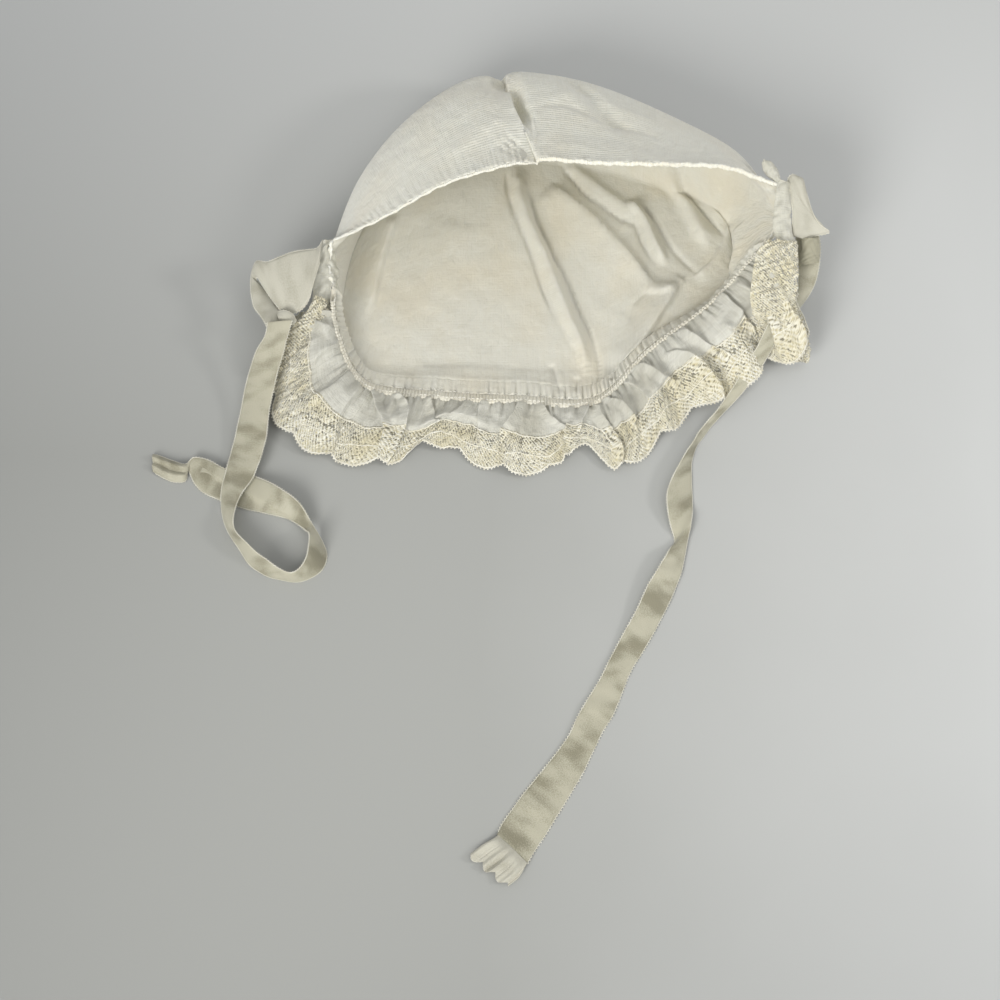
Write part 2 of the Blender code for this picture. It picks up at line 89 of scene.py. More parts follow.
CROWN_FOLDS = [
    # points as shares of width and length, left and right half widths and height in mm
    ([(-0.100, 0.330), (-0.066, 0.288), (-0.036, 0.258)], 0.5, 1.5, -0.9),
    ([(-0.085, 0.345), (-0.057, 0.300), (-0.033, 0.266)], 0.5, 1.4, -0.9),
    ([(-0.115, 0.315), (-0.078, 0.275), (-0.045, 0.248)], 0.6, 1.5, -0.7),
    ([(-0.020, 0.471), (0.032, 0.478), (0.122, 0.418), (0.254, 0.352)], 3.0, 1.2, -0.7),
    ([(0.040, 0.560), (0.140, 0.500), (0.260, 0.420)], 1.5, 4.0, 0.4),
    ([(-0.103, 0.422), (-0.148, 0.369), (-0.215, 0.283)], 3.0, 6.0, 0.6),
    ([(-0.031, 0.250), (-0.027, 0.330), (-0.029, 0.425)], 0.55, 0.55, 0.55),
    ([(-0.055, 0.480), (-0.040, 0.440), (-0.034, 0.405)], 0.6, 0.8, -0.5),
    ([(0.000, 0.300), (0.150, 0.275), (0.300, 0.250)], 5.0, 5.0, 0.5),
]


def smooth_rows(knots, rows, at):
    """Cubic Hermite curve through rows of numbers, its slope at each row the
    weighted chord of its neighbours."""
    knots = np.asarray(knots, float)
    rows = np.asarray(rows, float)
    slopes = np.gradient(rows, knots, axis=0)
    span = np.clip(np.searchsorted(knots, at, side="right") - 1, 0, len(knots) - 2)
    column = (-1,) + (1,) * (rows.ndim - 1)
    step = (knots[span + 1] - knots[span]).reshape(column)
    t = (np.asarray(at) - knots[span]).reshape(column) / step
    ease = t * t * (3 - 2 * t)
    lead = t * (1 - t) ** 2 * step
    trail = t * t * (t - 1) * step
    return rows[span] * (1 - ease) + rows[span + 1] * ease + lead * slopes[span] + trail * slopes[span + 1]


def read_off(line, walk, at):
    """Rows of a line at lengths walked along it, in straight steps between them."""
    return np.stack([np.interp(at, walk, line[:, axis]) for axis in range(line.shape[1])], 1)


def unit(vectors):
    """Vectors divided by their own length."""
    return vectors / np.linalg.norm(vectors, axis=-1, keepdims=True)


def ramp(value):
    """Smooth step: 3t^2 - 2t^3 between 0 and 1."""
    t = np.clip(value, 0, 1)
    return t * t * (3 - 2 * t)


def bell(value, middle, width):
    """exp of minus the square of the distance from middle over width."""
    return np.exp(-((value - middle) / width) ** 2)


def walked(points):
    """Length walked along the rows of points, from the first."""
    return np.append(0, np.cumsum(np.linalg.norm(np.diff(points, axis=0), axis=1)))


def spread(count, start, end, *peaks):
    """Places from start to end whose spacing shrinks round each peak, given as
    middle, width and strength: equal steps of the integral of 1 + the bells."""
    fine = np.linspace(start, end, 4000)
    crowd = 1 + sum(strength * bell(fine, middle, width) for middle, width, strength in peaks)
    total = np.cumsum(crowd)
    return np.interp(np.linspace(total[0], total[-1], count), total, fine)


def surface_normals(points, passes):
    """Cross product of the differences along a grid's two directions, evened
    out over the neighbours as many times as passes says."""
    normals = unit(np.cross(np.gradient(points, axis=0), np.gradient(points, axis=1)))
    for axis in (0, 1) * passes:
        ends = np.concatenate([normals.take([0], axis), normals, normals.take([-1], axis)], axis)
        count = normals.shape[axis]
        normals = unit(ends.take(range(count), axis) + 2 * normals + ends.take(range(2, count + 2), axis))
    return normals


def crown_form(across, around):
    """Outer face of the crown and its inward normals, on a grid of strips.

    Each strip runs from the neck edge down to the floor, along it, up round
    the belly and in to the front edge, as a smooth curve through five points.
    Dents are pressed in along the normal with a bell-shaped cross-section.
    Beside the roll's line the cloth on the left is moved over to the right by
    a bell, and the cloth on the right dips under it into a small hollow. At the
    top and at the hem the left cloth sinks towards the line, exponentially.
    """
    rows = smooth_rows(STRIPS[:, 0], STRIPS[:, 1:], across)
    size = np.array([BONNET_WIDTH, BONNET_LENGTH, BRIM_HEIGHT])
    neck = rows[:, 0:3] * size
    belly = rows[:, 3:6] * [BONNET_WIDTH, BONNET_LENGTH, BELLY_HEIGHT]
    brim = rows[:, 6:9] * size
    drop = ramp((1 - np.abs(across)) / CORNER_SHARE)[:, None]
    floor = []
    for share in (FLOOR_START, FLOOR_END):
        point = neck + (belly - neck) * share
        point[:, 2:] = point[:, 2:] * (1 - drop) - FLOOR_PRESS * BELLY_HEIGHT * drop
        floor.append(point)
    strips = np.stack([neck, floor[0], floor[1], belly, brim])
    points = smooth_rows(STRIP_KNOTS, strips, around).transpose(1, 0, 2)
    inward = surface_normals(points, 20)
    for at, slant, start, end, width, depth in DENTS:
        reach = (end - around) / (end - start)
        line = at + slant * np.clip(reach, 0, 1)
        offset = (across[:, None] - line) / 2 / width
        fade = ramp((around - start) / 0.07) * ramp((end - around) / 0.04 + 0.5)
        press = depth * BRIM_HEIGHT * np.exp(-offset ** 2) * fade
        points = points + inward * press[..., None]
    off_line = across[:, None] - np.interp(around, ROLL_LINE[:, 0], ROLL_LINE[:, 1])
    past = off_line - 0.004
    step = np.where(past < 0, np.exp(past / 0.11), np.exp(-past / 0.008))
    hold = ramp((around - 0.70) / 0.06) * ramp((1.02 - around) / 0.05)
    points[..., 0] += ROLL_REACH * bell(off_line, -0.014, 0.020) * hold
    lift = ROLL_HEIGHT * bell(off_line, -0.012, 0.015) * bell(around, 0.83, 0.09)
    lift -= HOLLOW_DEPTH * bell(off_line, 0.045, 0.034) * bell(around, 0.865, 0.040)
    lift -= TOP_DROP * step * bell(around, 0.780, 0.060)
    points[..., 2] -= HEM_DROP * step * ramp((around - 0.90) / 0.10)
    points -= inward * lift[..., None]
    points[..., 2] = np.maximum(points[..., 2], 0)
    return points, surface_normals(points, 30)


def fold_field(places, folds):
    """Height of folds over a grid of places, in metres.

    Each fold is a smooth line. Its height falls off across the line as a bell,
    with one half width on its left and another on its right, and as a ramp
    over the first and last tenth of its length.
    """
    total = np.zeros(places.shape[:-1])
    size = np.array([BONNET_WIDTH, BONNET_LENGTH])
    for route, left, right, height in folds:
        rows = np.array(route) * size
        length = walked(rows)
        even = np.linspace(0, length[-1], 48)
        line = smooth_rows(length, rows, even)
        run = unit(np.gradient(line, axis=0))
        near = np.abs(places[..., 0] - line[:, 0].mean()) < np.ptp(line[:, 0]) / 2 + 0.02
        spots = places[near]
        offset = spots[:, None] - line
        gaps = (offset ** 2).sum(-1)
        pick = gaps.argmin(1)
        offset = offset[np.arange(len(pick)), pick]
        side = run[pick, 0] * offset[:, 1] - run[pick, 1] * offset[:, 0]
        width = np.where(side > 0, left, right) / 1000
        share = even[pick] / length[-1]
        taper = ramp(share / 0.12 + 0.15) * ramp((1 - share) / 0.2 + 0.1)
        total[near] += height / 1000 * np.exp(-gaps.min(1) / width ** 2) * taper
    return total


def add_cloth(name, points, wall=0.0, ring=False, along=None):
    """A surface from a grid of points, each face joining four neighbours. Its
    map, named cloth, holds the mean distance walked along and across, in mm,
    unless along gives the first. ring joins the last column to the first, caps
    both ends and turns the faces outwards, and wall gives it a thickness."""
    rows, columns = points.shape[:2]
    if along is None and ring:
        along = walked(points.mean(1))
    elif along is None:
        along = np.mean([walked(line) for line in points.transpose(1, 0, 2)], 0)
    across = np.mean([walked(line) for line in points], 0)
    chart = np.stack(np.meshgrid(along, across, indexing="ij"), -1) * 1000
    index = np.arange(rows * columns).reshape(rows, columns)
    if ring:
        index = np.concatenate([index, index[:, :1]], 1)
    faces = np.stack([index[:-1, :-1], index[1:, :-1], index[1:, 1:], index[:-1, 1:]], -1).reshape(-1, 4)
    if ring:
        near = np.arange(columns // 2 - 1)
        cap = np.stack([near, near + 1, columns - 2 - near, columns - 1 - near], -1)
        faces = np.concatenate([faces, index[0][cap], index[-1][cap][:, ::-1]])
        corners = points.reshape(-1, 3)[faces]
        inside = np.cross(corners[:, 1], corners[:, 2]) + np.cross(corners[:, 2], corners[:, 3])
        if (corners[:, 0] * inside).sum() < 0:
            faces = faces[:, ::-1]
    return add_faces(name, points.reshape(-1, 3), faces, chart.reshape(-1, 2), wall)


def add_faces(name, points, faces, chart, wall=0.0):
    """An object from points, four-cornered faces and a map in mm, smooth-shaded."""
    mesh = bpy.data.meshes.new(name)
    mesh.vertices.add(len(points))
    mesh.vertices.foreach_set("co", np.asarray(points, np.float32).ravel())
    mesh.loops.add(faces.size)
    mesh.loops.foreach_set("vertex_index", faces.ravel().astype(np.int32))
    mesh.polygons.add(len(faces))
    mesh.polygons.foreach_set("loop_start", np.arange(0, faces.size, 4, dtype=np.int32))
    mesh.update(calc_edges=True)
    mesh.validate()
    layer = mesh.uv_layers.new(name="cloth")
    layer.data.foreach_set("uv", chart[faces].astype(np.float32).ravel())
    mesh.shade_smooth()
    thing = bpy.data.objects.new(name, mesh)
    bpy.context.scene.collection.objects.link(thing)
    if wall:
        solidify = thing.modifiers.new("wall", "SOLIDIFY")
        solidify.thickness = wall
        solidify.offset = 0
        solidify.use_even_offset = False
    return thing


def dress(piece, finish, solid=None):
    """A piece's finish, its ride on the bonnet's one body and, where
    it stands for one, its solid, hidden."""
    piece.data.materials.append(finish)
    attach(piece, "root")
    if solid:
        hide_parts(solid)


class Thread:
    """A value spun through a finish's nodes. Signs between two of them add a
    Math node, and node() adds a node of any other kind."""

    def __init__(self, tree, socket=None):
        self.tree = tree
        self.socket = socket

    def node(self, kind, settings=None, values=None, out=0):
        """A new node with its settings, then its sockets' values or links."""
        made = self.tree.nodes.new(kind)
        for name, value in (settings or {}).items():
            if name == "stops":
                for (place, tone), stop in zip(value, made.color_ramp.elements):
                    stop.position = place
                    stop.color = tone
            else:
                setattr(made, name, value)
        for place, value in (values or {}).items():
            if isinstance(value, Thread):
                self.tree.links.new(value.socket, made.inputs[place])
            else:
                made.inputs[place].default_value = value
        return Thread(self.tree, made.outputs[out])

    def reckon(self, operation, *values):
        """A Math node on this and other values."""
        return self.node("ShaderNodeMath", {"operation": operation}, dict(enumerate(values)))

    def __add__(self, other):
        return self.reckon("ADD", self, other)

    def __sub__(self, other):
        return self.reckon("SUBTRACT", self, other)

    def __rsub__(self, other):
        return self.reckon("SUBTRACT", other, self)

    def __mul__(self, other):
        return self.reckon("MULTIPLY", self, other)

    def __truediv__(self, other):
        return self.reckon("DIVIDE", self, other)

    def __pow__(self, other):
        return self.reckon("POWER", self, other)

    __radd__ = __add__
    __rmul__ = __mul__

    def clamped(self):
        """This value kept between 0 and 1."""
        return self.node("ShaderNodeClamp", None, {"Value": self})

    def wave(self, pitch, turn=0.0):
        """Sine of this value, one turn each pitch, between 0 and 1."""
        return self.reckon("SINE", self * (2 * np.pi / pitch) + turn) * 0.5 + 0.5

    def cloud(self, along, across, size, fuzz=2.0, stretch=(1.0, 1.0)):
        """Noise over the cloth, its lumps about size mm and drawn out by stretch."""
        lumps = {0: along / (size * stretch[0]), 1: across / (size * stretch[1])}
        values = {"Vector": self.node("ShaderNodeCombineXYZ", None, lumps), "Scale": 1.0, "Detail": fuzz}
        return self.node("ShaderNodeTexNoise", {"noise_dimensions": "2D"}, values)

    def blend(self, share, one, other):
        """Colour between one and other."""
        return self.node("ShaderNodeMix", {"data_type": "RGBA"}, {0: share, 6: one, 7: other}, out=2)

    def into(self, shader, name):
        """This value linked to a socket of the shader."""
        self.tree.links.new(self.socket, shader.inputs[name])

    def emboss(self, shader, strength, depth):
        """This value as a height over the cloth, depth metres for one, whose
        slope bends the shader's normal."""
        bump = self.node("ShaderNodeBump", None, {"Strength": strength, "Distance": depth, "Height": self})
        bump.into(shader, "Normal")


def new_finish(name, roughness, sheen, glow=0.0):
    """An empty Principled finish, with its shader, a Thread for its nodes, and
    the cloth map's two distances in mm."""
    finish = bpy.data.materials.new(name)
    finish.use_nodes = True
    shader = finish.node_tree.nodes["Principled BSDF"]
    shader.inputs["Roughness"].default_value = roughness
    shader.inputs["Sheen Weight"].default_value = sheen
    shader.inputs["Sheen Roughness"].default_value = 0.5
    shader.inputs["Specular IOR Level"].default_value = 0.25
    shader.inputs["Subsurface Weight"].default_value = glow
    shader.inputs["Subsurface Radius"].default_value = (1.0, 0.96, 0.88)
    shader.inputs["Subsurface Scale"].default_value = 0.0012
    spin = Thread(finish.node_tree)
    place = spin.node("ShaderNodeUVMap", {"uv_map": "cloth"})
    parts = spin.node("ShaderNodeSeparateXYZ", None, {0: place})
    return finish, shader, spin, parts, Thread(finish.node_tree, parts.socket.node.outputs[1])


def cotton(name, light, warm, stain_and_groove_shade, cord_pitch=0.0, cord_along=True, weave=0.42, crinkle=1.0, alpha=1.0,
           glow=0.85, slubs=1.0, cord=1.0):
    """A cotton finish: a plain weave, slubs both ways, raised cords where they
    have a pitch with painted shade in the grooves between them, a soft crinkle, and patches that have aged
    warmer."""
    finish, shader, spin, along, across = new_finish(name, 0.86, 0.25, glow)
    slub_a = spin.cloud(along, across, 0.8, 1.0, (14.0, 0.45))
    slub_b = spin.cloud(across, along, 0.8, 1.0, (14.0, 0.45))
    patches = spin.cloud(along, across, 26.0, 3.0)
    soft = spin.cloud(along, across, 5.0, 3.0)
    threads = along.wave(weave) * across.wave(weave)
    ground = spin.blend(((patches - 0.42) * 3.2).clamped(), (*light, 1), (*warm, 1))
    streak = (slub_a + slub_b - 1.0) * (0.55 * slubs) + 0.20 + (threads - 0.25) * 0.10
    tint = spin.blend(streak.clamped(), ground, (*stain_and_groove_shade, 1))
    height = threads * 0.10 + (slub_a + slub_b) * (0.35 * slubs) + soft * (1.6 * crinkle)
    if cord_pitch:
        cords = (along if cord_along else across).wave(cord_pitch)
        height = height + cords * (0.50 * cord)
        # Painted shade: the colour darkens towards the stain tone in the grooves between the raised cords.
        tint = spin.blend((1.0 - cords) * (0.16 * cord), tint, (*stain_and_groove_shade, 1))
        if alpha < 1.0:
            (soft * (1.0 - alpha) * 1.2 + alpha * 0.94).into(shader, "Alpha")
    height.emboss(shader, 0.55, 0.0006)
    tint.into(shader, "Base Color")
    return finish


across = spread(290, -1, 1, (-0.02, 0.09, 3.4), (-0.9, 0.1, 0.8), (0.92, 0.08, 0.8))
around = spread(154, 0.0, 1.0, (0.86, 0.12, 1.6), (0.02, 0.04, 0.6))
outer, inward = crown_form(across, around)
upper = ramp((around - 0.70) / 0.05)
puckers = np.sin(across * 210 + 3 * np.sin(across * 23)) * np.where(across < 0, 1.0, 0.35)
crown_lift = fold_field(outer[..., :2], CROWN_FOLDS) * upper
crown_lift += PUCKER_HEIGHT * puckers[:, None] * ramp((around - 0.90) / 0.09)
crown_cloth = outer - inward * crown_lift[..., None] + inward * CLOTH_WALL / 2
crown = add_cloth("crown_cloth", crown_cloth, CLOTH_WALL)
dimity = cotton("ivory dimity", (0.80, 0.788, 0.68), (0.80, 0.76, 0.63), (0.67, 0.64, 0.52), 1.0, False,
                crinkle=1.6, glow=0.6, cord=0.8)
dress(crown, dimity, "crown")

# Lining
# The lining is plain cream lawn, cut like the crown and caught with it into the
# front hem and the neck casing. Its spare cloth lies in loose folds that run
# from the tack at the centre front, and swells beside the casing.
LINING_LIFT = 0.0019           # the lining's middle above the crown's outer face
LINING_LEAST = 0.00085         # the least that it may be above it
LINING_SEWN = 0.0006           # the same at the side edges, where both are sewn together
SLACK_HEIGHT = 0.00018
GATHER_HEIGHT = 0.00075        # fine gathers beside the casing
GATHER_REACH = 0.050
FILL_HEIGHT = 0.0022           # the fuller cloth next to them
LINING_FOLDS = [
    # points as shares of width and length, left and right half widths and height in mm
    ([(-0.063, 0.480), (-0.056, 0.362), (-0.032, 0.259), (-0.001, 0.158), (0.024, 0.059), (0.052, -0.049),
      (0.080, -0.150), (0.095, -0.249)], 2.3, 2.5, 4.4),
    ([(-0.089, 0.476), (-0.083, 0.379), (-0.060, 0.287), (-0.031, 0.174), (-0.009, 0.064),
      (0.018, -0.045)], 1.3, 0.8, -1.3),
    ([(-0.036, 0.389), (-0.012, 0.276), (0.018, 0.174), (0.050, 0.086), (0.078, -0.023), (0.107, -0.119),
      (0.122, -0.203), (0.115, -0.296)], 0.9, 1.6, -1.5),
    ([(0.013, 0.418), (0.102, 0.316), (0.182, 0.192), (0.262, 0.045)], 0.9, 6.0, 2.2),
    ([(0.000, 0.400), (0.120, 0.240), (0.205, 0.080)], 9.0, 9.0, 1.2),
    ([(0.044, 0.488), (0.074, 0.431), (0.096, 0.385), (0.140, 0.339), (0.184, 0.293), (0.214, 0.276),
      (0.228, 0.214), (0.266, 0.125)], 0.8, 1.2, -1.7),
    ([(0.060, 0.500), (0.150, 0.380), (0.225, 0.300)], 2.4, 2.8, 2.0),
    ([(0.200, 0.355), (0.236, 0.288), (0.256, 0.209), (0.284, 0.127)], 1.8, 1.5, 3.4),
    ([(0.230, 0.345), (0.262, 0.293), (0.289, 0.214), (0.325, 0.147), (0.361, 0.094)], 0.8, 1.2, -1.5),
    ([(0.280, 0.485), (0.333, 0.357), (0.359, 0.266), (0.390, 0.188)], 4.2, 2.2, 3.6),
    ([(0.312, 0.471), (0.354, 0.362), (0.396, 0.282), (0.437, 0.221)], 0.9, 1.4, -1.4),
    ([(0.363, 0.458), (0.405, 0.367), (0.431, 0.277)], 4.4, 4.4, 2.8),
    ([(0.446, 0.276), (0.420, 0.193), (0.384, 0.127), (0.345, 0.083)], 4.0, 0.8, 2.2),
    ([(0.466, 0.240), (0.462, 0.162), (0.440, 0.090)], 1.6, 1.6, 2.6),
    ([(0.325, 0.080), (0.280, 0.033), (0.226, 0.045)], 0.9, 4.0, 1.8),
    ([(0.310, 0.060), (0.265, -0.038), (0.212, -0.144), (0.164, -0.228)], 1.0, 7.0, 3.0),
    ([(0.239, 0.043), (0.204, -0.006), (0.195, -0.064)], 0.9, 1.3, -0.8),
    ([(-0.346, 0.300), (-0.371, 0.193), (-0.385, 0.105), (-0.394, 0.018), (-0.406, -0.047)], 0.8, 4.5, 2.0),
    ([(-0.205, 0.300), (-0.250, 0.125), (-0.320, -0.049), (-0.376, -0.155)], 10.0, 12.0, 1.0),
    ([(0.016, -0.200), (0.024, -0.265), (0.033, -0.320)], 0.6, 1.6, -1.1),
    ([(0.072, -0.250), (0.068, -0.315)], 0.6, 1.5, -0.9),
    ([(0.170, -0.225), (0.153, -0.280)], 0.7, 1.7, -1.1),
    ([(-0.300, -0.222), (-0.160, -0.226), (0.006, -0.240), (0.122, -0.238)], 2.0, 5.0, 0.6),
]

lining_around = spread(150, 0.0, 1.0, (0.22, 0.22, 1.3), (0.02, 0.05, 1.0))
lining_across = spread(290, -1, 1, (0.25, 0.35, 1.0), (-0.9, 0.1, 0.6), (0.9, 0.08, 0.8))
base, base_inward = crown_form(lining_across, lining_around)
lower = ramp((0.66 - lining_around) / 0.10)
flat_place = base[..., :2]
neck_walk = walked(base[:, 0]) * 1000
gathers = np.sin(neck_walk / 0.36 + 2.2 * np.sin(neck_walk / 7.3))
gathers += 0.8 * np.sin(neck_walk / 0.67 + 1.9 * np.sin(neck_walk / 5.1))
slack = np.sin(flat_place[..., 0] * 260 + 2 * np.sin(flat_place[..., 1] * 90))
slack *= np.cos(flat_place[..., 1] * 210 + flat_place[..., 0] * 120)
lining_lift = fold_field(flat_place, LINING_FOLDS) * lower + SLACK_HEIGHT * slack * lower
near_casing = np.exp(-lining_around / GATHER_REACH) * ramp(lining_around / 0.006)
lining_lift += GATHER_HEIGHT * gathers[:, None] * near_casing
lining_lift += FILL_HEIGHT * bell(lining_around, 0.062, 0.045) * ramp(lining_around / 0.02) * lower
lining_lift += LINING_LIFT * (1 - 0.65 * ramp((lining_around - 0.90) / 0.10))
lining_lift = np.maximum(lining_lift, LINING_LEAST)
side_close = ramp((1 - np.abs(lining_across)) / 0.06)[:, None]
lining_lift = LINING_SEWN + (lining_lift - LINING_SEWN) * side_close
lining = add_cloth("lining_cloth", base + base_inward * lining_lift[..., None], CLOTH_WALL)
cream_lawn = cotton("cream lining lawn", (0.64, 0.63, 0.555), (0.64, 0.605, 0.50), (0.56, 0.52, 0.41),
                    weave=0.5, slubs=0.5, crinkle=1.0, glow=0.5)
dress(lining, cream_lawn, "lining")

# Front hem
# The two cloths are rolled together at the front edge and whipped down with
# fine thread. The right half is a round crisp roll, the left half softer,
# flatter and puckered by its stitches. Short rolls close the two side edges.
HEM_RADIUS = (0.00055, 0.00085)    # left half, right half
HEM_LIFT = 0.0006                  # the roll's middle above the cloth's outer face
HEM_REACH = 0.0003                 # and out past its edge
HEM_WANDER = 0.00018
SIDE_RADIUS = 0.00105
TUBE_FLOOR = 0.0001                # the least height of a roll or the casing over the floor


def edge_line(points, inside, edge, step, count, start, end):
    """Even stations on an edge of a grid, from start to end of its length: the
    points, the way out of the cloth, the inward normal and the way along it."""
    line = points[:, edge]
    out = unit(line - points[:, edge + step])
    length = walked(line)
    even = np.linspace(start, end, count) * length[-1]
    spots = read_off(line, length, even)
    ways = [unit(read_off(part, length, even)) for part in (out, inside[:, edge])]
    return spots, *ways, unit(np.gradient(spots, axis=0))


def tube_rings(middle, out, up, width, height, sides):
    """Oval rings round a line: middle + out * width/2 * cos + up * height/2 * sin.
    The first and last ring are drawn to a point to close the tube."""
    angle = (np.arange(sides) * 2 * np.pi / sides)[None, :, None]
    close = np.ones(len(middle))
    close[[0, -1]] = 0.02
    close[[1, -2]] = 0.75
    return (middle[:, None] + out[:, None] * np.cos(angle) * (width * close / 2)[:, None, None]
            + up[:, None] * np.sin(angle) * (height * close / 2)[:, None, None])


edge, out, up, run = edge_line(outer, inward, -1, -4, 900, 0.004, 0.998)
hem_walk = walked(edge) * 1000
side_share = ramp((edge[:, 0] + 0.006) / 0.006)
radius = HEM_RADIUS[0] + (HEM_RADIUS[1] - HEM_RADIUS[0]) * side_share
lumps = 0.10 * np.sin(hem_walk / 0.31 + 1.4 * np.sin(hem_walk / 2.9))
lumps += 0.13 * np.sin(hem_walk / 0.83 + np.sin(hem_walk / 4.7))
rise_and_fall = HEM_WANDER * np.sin(hem_walk / 1.3 + np.sin(hem_walk / 6.1))
middle = edge + up * HEM_LIFT + out * HEM_REACH + up * rise_and_fall[:, None]
rings = tube_rings(middle, out, up, 2 * radius * (1 + lumps), 2 * radius * (1.05 + lumps), 12)
hem = add_cloth("rolled_hem", rings, ring=True)
hem_cotton = cotton("white hem", (0.86, 0.85, 0.76), (0.83, 0.80, 0.69), (0.62, 0.595, 0.49), 0.7, True,
                    crinkle=0.6)
dress(hem, hem_cotton, "front_hem")
for name, edge_index, step in (("left_side_roll", 0, 3), ("right_side_roll", -1, -4)):
    turned = outer.transpose(1, 0, 2), inward.transpose(1, 0, 2)
    line, out, up, run = edge_line(*turned, edge_index, step, 120, 0.0, 1.0)
    walk = walked(line) * 1000
    swell = 1 + 0.12 * np.sin(walk / 0.33) + 0.10 * np.sin(walk / 0.9)
    thick = 2 * SIDE_RADIUS * swell
    rings = tube_rings(line + up * HEM_LIFT, out, up, thick * 0.8, thick, 10)
    rings[..., 2] = np.maximum(rings[..., 2], TUBE_FLOOR)
    dress(add_cloth(name, rings, ring=True), hem_cotton)

# Neck casing
# A narrow channel stitched along the neck edge. The cloth is drawn up along
# it, so that it lies in close upright ribs between two rows of stitches.
CASING_WIDTH = 0.0042
CASING_LAP = 0.0011            # how far its inner edge lies over the lining
CASING_HEIGHT = 0.0019
CASING_LIFT = 0.0012           # its middle above the crown's outer face
CASING_PITCH = 1.25            # mm from rib to rib
RIB_REACH = 0.00022
SEAM_GAP = 0.0003

edge, out, up, run = edge_line(outer, inward, 0, 3, 1700, 0.004, 0.998)
neck_length = walked(edge) * 1000
beat = neck_length / CASING_PITCH + 0.30 * np.sin(neck_length / 5.3) + 0.22 * np.sin(neck_length / 2.3)
rib = np.abs(np.sin(np.pi * beat)) ** 0.6
depth = 0.46 + 0.12 * np.sin(neck_length / 9.7) * np.sin(neck_length / 3.1)
wander = 0.00022 * np.sin(neck_length / 2.9 + 2 * np.sin(neck_length / 11))
wander += 0.00015 * np.sin(neck_length / 1.3)
reach = (CASING_WIDTH - CASING_LAP) / 2 + wander + RIB_REACH * rib
middle = edge + up * CASING_LIFT + out * reach[:, None]
rib_width = (CASING_WIDTH + CASING_LAP) * (0.97 + 0.12 * rib)
rib_height = CASING_HEIGHT * (1 - depth * (1 - rib))
rings = tube_rings(middle, out, up, rib_width, rib_height, 18)
rings[..., 2] = np.maximum(rings[..., 2], TUBE_FLOOR)
casing = add_cloth("neck_casing_cloth", rings, ring=True)
casing_cotton = cotton("ivory casing", (0.77, 0.75, 0.655), (0.73, 0.69, 0.575), (0.60, 0.56, 0.44),
                       crinkle=0.8, glow=0.2)
dress(casing, casing_cotton, "neck_casing")

# Stitches
# Both edges of the casing are sewn down by hand with cream cotton thread, in
# short stitches that sink into the cloth at their ends.
STITCH_PITCH = 0.0017
STITCH_LENGTH = 0.0012
STITCH_WIDTH = 0.00042
STITCH_RISE = 0.00030          # how high a stitch arches
STITCH_PLACE = 0.0019          # its ends above the crown's outer face
STITCH_TAPER = np.array([0.6, 1, 1.1, 1, 0.6])


def thread_mesh(name, paths, up, width, height):
    """Four-sided threads along many paths at once: at each station the ring is
    path +- side * width/2 and +- over * height/2, and both ends are capped.
    paths is (threads, stations, 3), and width is a number for each station."""
    count, stations = paths.shape[:2]
    run = unit(np.gradient(paths, axis=1))
    side = unit(np.cross(run, np.broadcast_to(up, paths.shape)))
    over = np.cross(side, run)
    width = np.broadcast_to(width, (count, stations))[..., None] / 2
    height = np.broadcast_to(height, (count, stations))[..., None] / 2
    side = side * width
    over = over * height
    rings = np.stack([paths + side, paths + over, paths - side, paths - over], 2)
    index = np.arange(count * stations * 4).reshape(count, stations, 4)
    turned = np.roll(index, -1, axis=2)
    walls = np.stack([index[:, :-1], index[:, 1:], turned[:, 1:], turned[:, :-1]], -1).reshape(-1, 4)
    caps = np.concatenate([index[:, 0], index[:, -1, ::-1]])
    walk = np.cumsum(np.linalg.norm(np.diff(paths, axis=1, prepend=paths[:, :1]), axis=-1), 1) * 1000
    chart = np.stack(np.broadcast_arrays(walk[..., None], np.arange(4) * 0.2), -1)
    chart[..., 0] += np.arange(count)[:, None, None] * 1.7
    return add_faces(name, rings.reshape(-1, 3), np.concatenate([walls, caps]), chart.reshape(-1, 2))


def cotton_thread(name, light, dark, twist=0.45, glow=0.3):
    """A thread's finish: its twist runs round it as fine slanted lines, raised in the bump, with painted
    shade in the grooves between them.
    """
    finish, shader, spin, along, across = new_finish(name, 0.75, 0.35, glow)
    lay = (along + across).wave(twist)
    patches = spin.cloud(along, across, 9.0, 3.0)
    # Painted shade and random tone: the colour darkens where the twist's lines sink, and also in random
    # patches.
    tint = spin.blend((patches - 0.38) * 2.6 + (1.0 - lay) * 0.25, (*light, 1), (*dark, 1))
    lay.emboss(shader, 0.4, 0.0001)
    tint.into(shader, "Base Color")
    return finish


def stitch_paths(line, over, run, pitch, length, rise, jitter, seed):
    """Five stations for each stitch: evenly placed on the line, turned a little
    by a random share, and arched by a half sine over the cloth."""
    walk = walked(line)
    middles = np.arange(pitch, walk[-1] - pitch, pitch)
    chance = np.random.default_rng(seed)
    middles = middles + chance.normal(0, pitch * 0.05, len(middles))
    at, lift, way = [read_off(part, walk, middles) for part in (line, over, run)]
    sideways = np.cross(lift, way) * chance.normal(0, jitter, (len(middles), 1))
    way = unit(way + sideways)
    step = np.linspace(-0.5, 0.5, 5)[None, :, None]
    arch = np.cos(np.pi * step) - 0.35
    return at[:, None] + way[:, None] * step * length + lift[:, None] * arch * rise, lift[:, None]


thread_white = cotton_thread("sewing thread", (0.92, 0.90, 0.82), (0.80, 0.76, 0.64))
for name, offset in (("casing_inner_stitches", -CASING_LAP * 0.6),
                     ("casing_outer_stitches", CASING_WIDTH - 0.0010)):
    line = edge + out * (offset + wander)[:, None] + up * STITCH_PLACE
    paths, lift = stitch_paths(line, up, run, STITCH_PITCH, STITCH_LENGTH, STITCH_RISE, 0.15, len(name))
    stitches = thread_mesh(name, paths, lift, STITCH_WIDTH * STITCH_TAPER, STITCH_WIDTH)
    dress(stitches, thread_white)

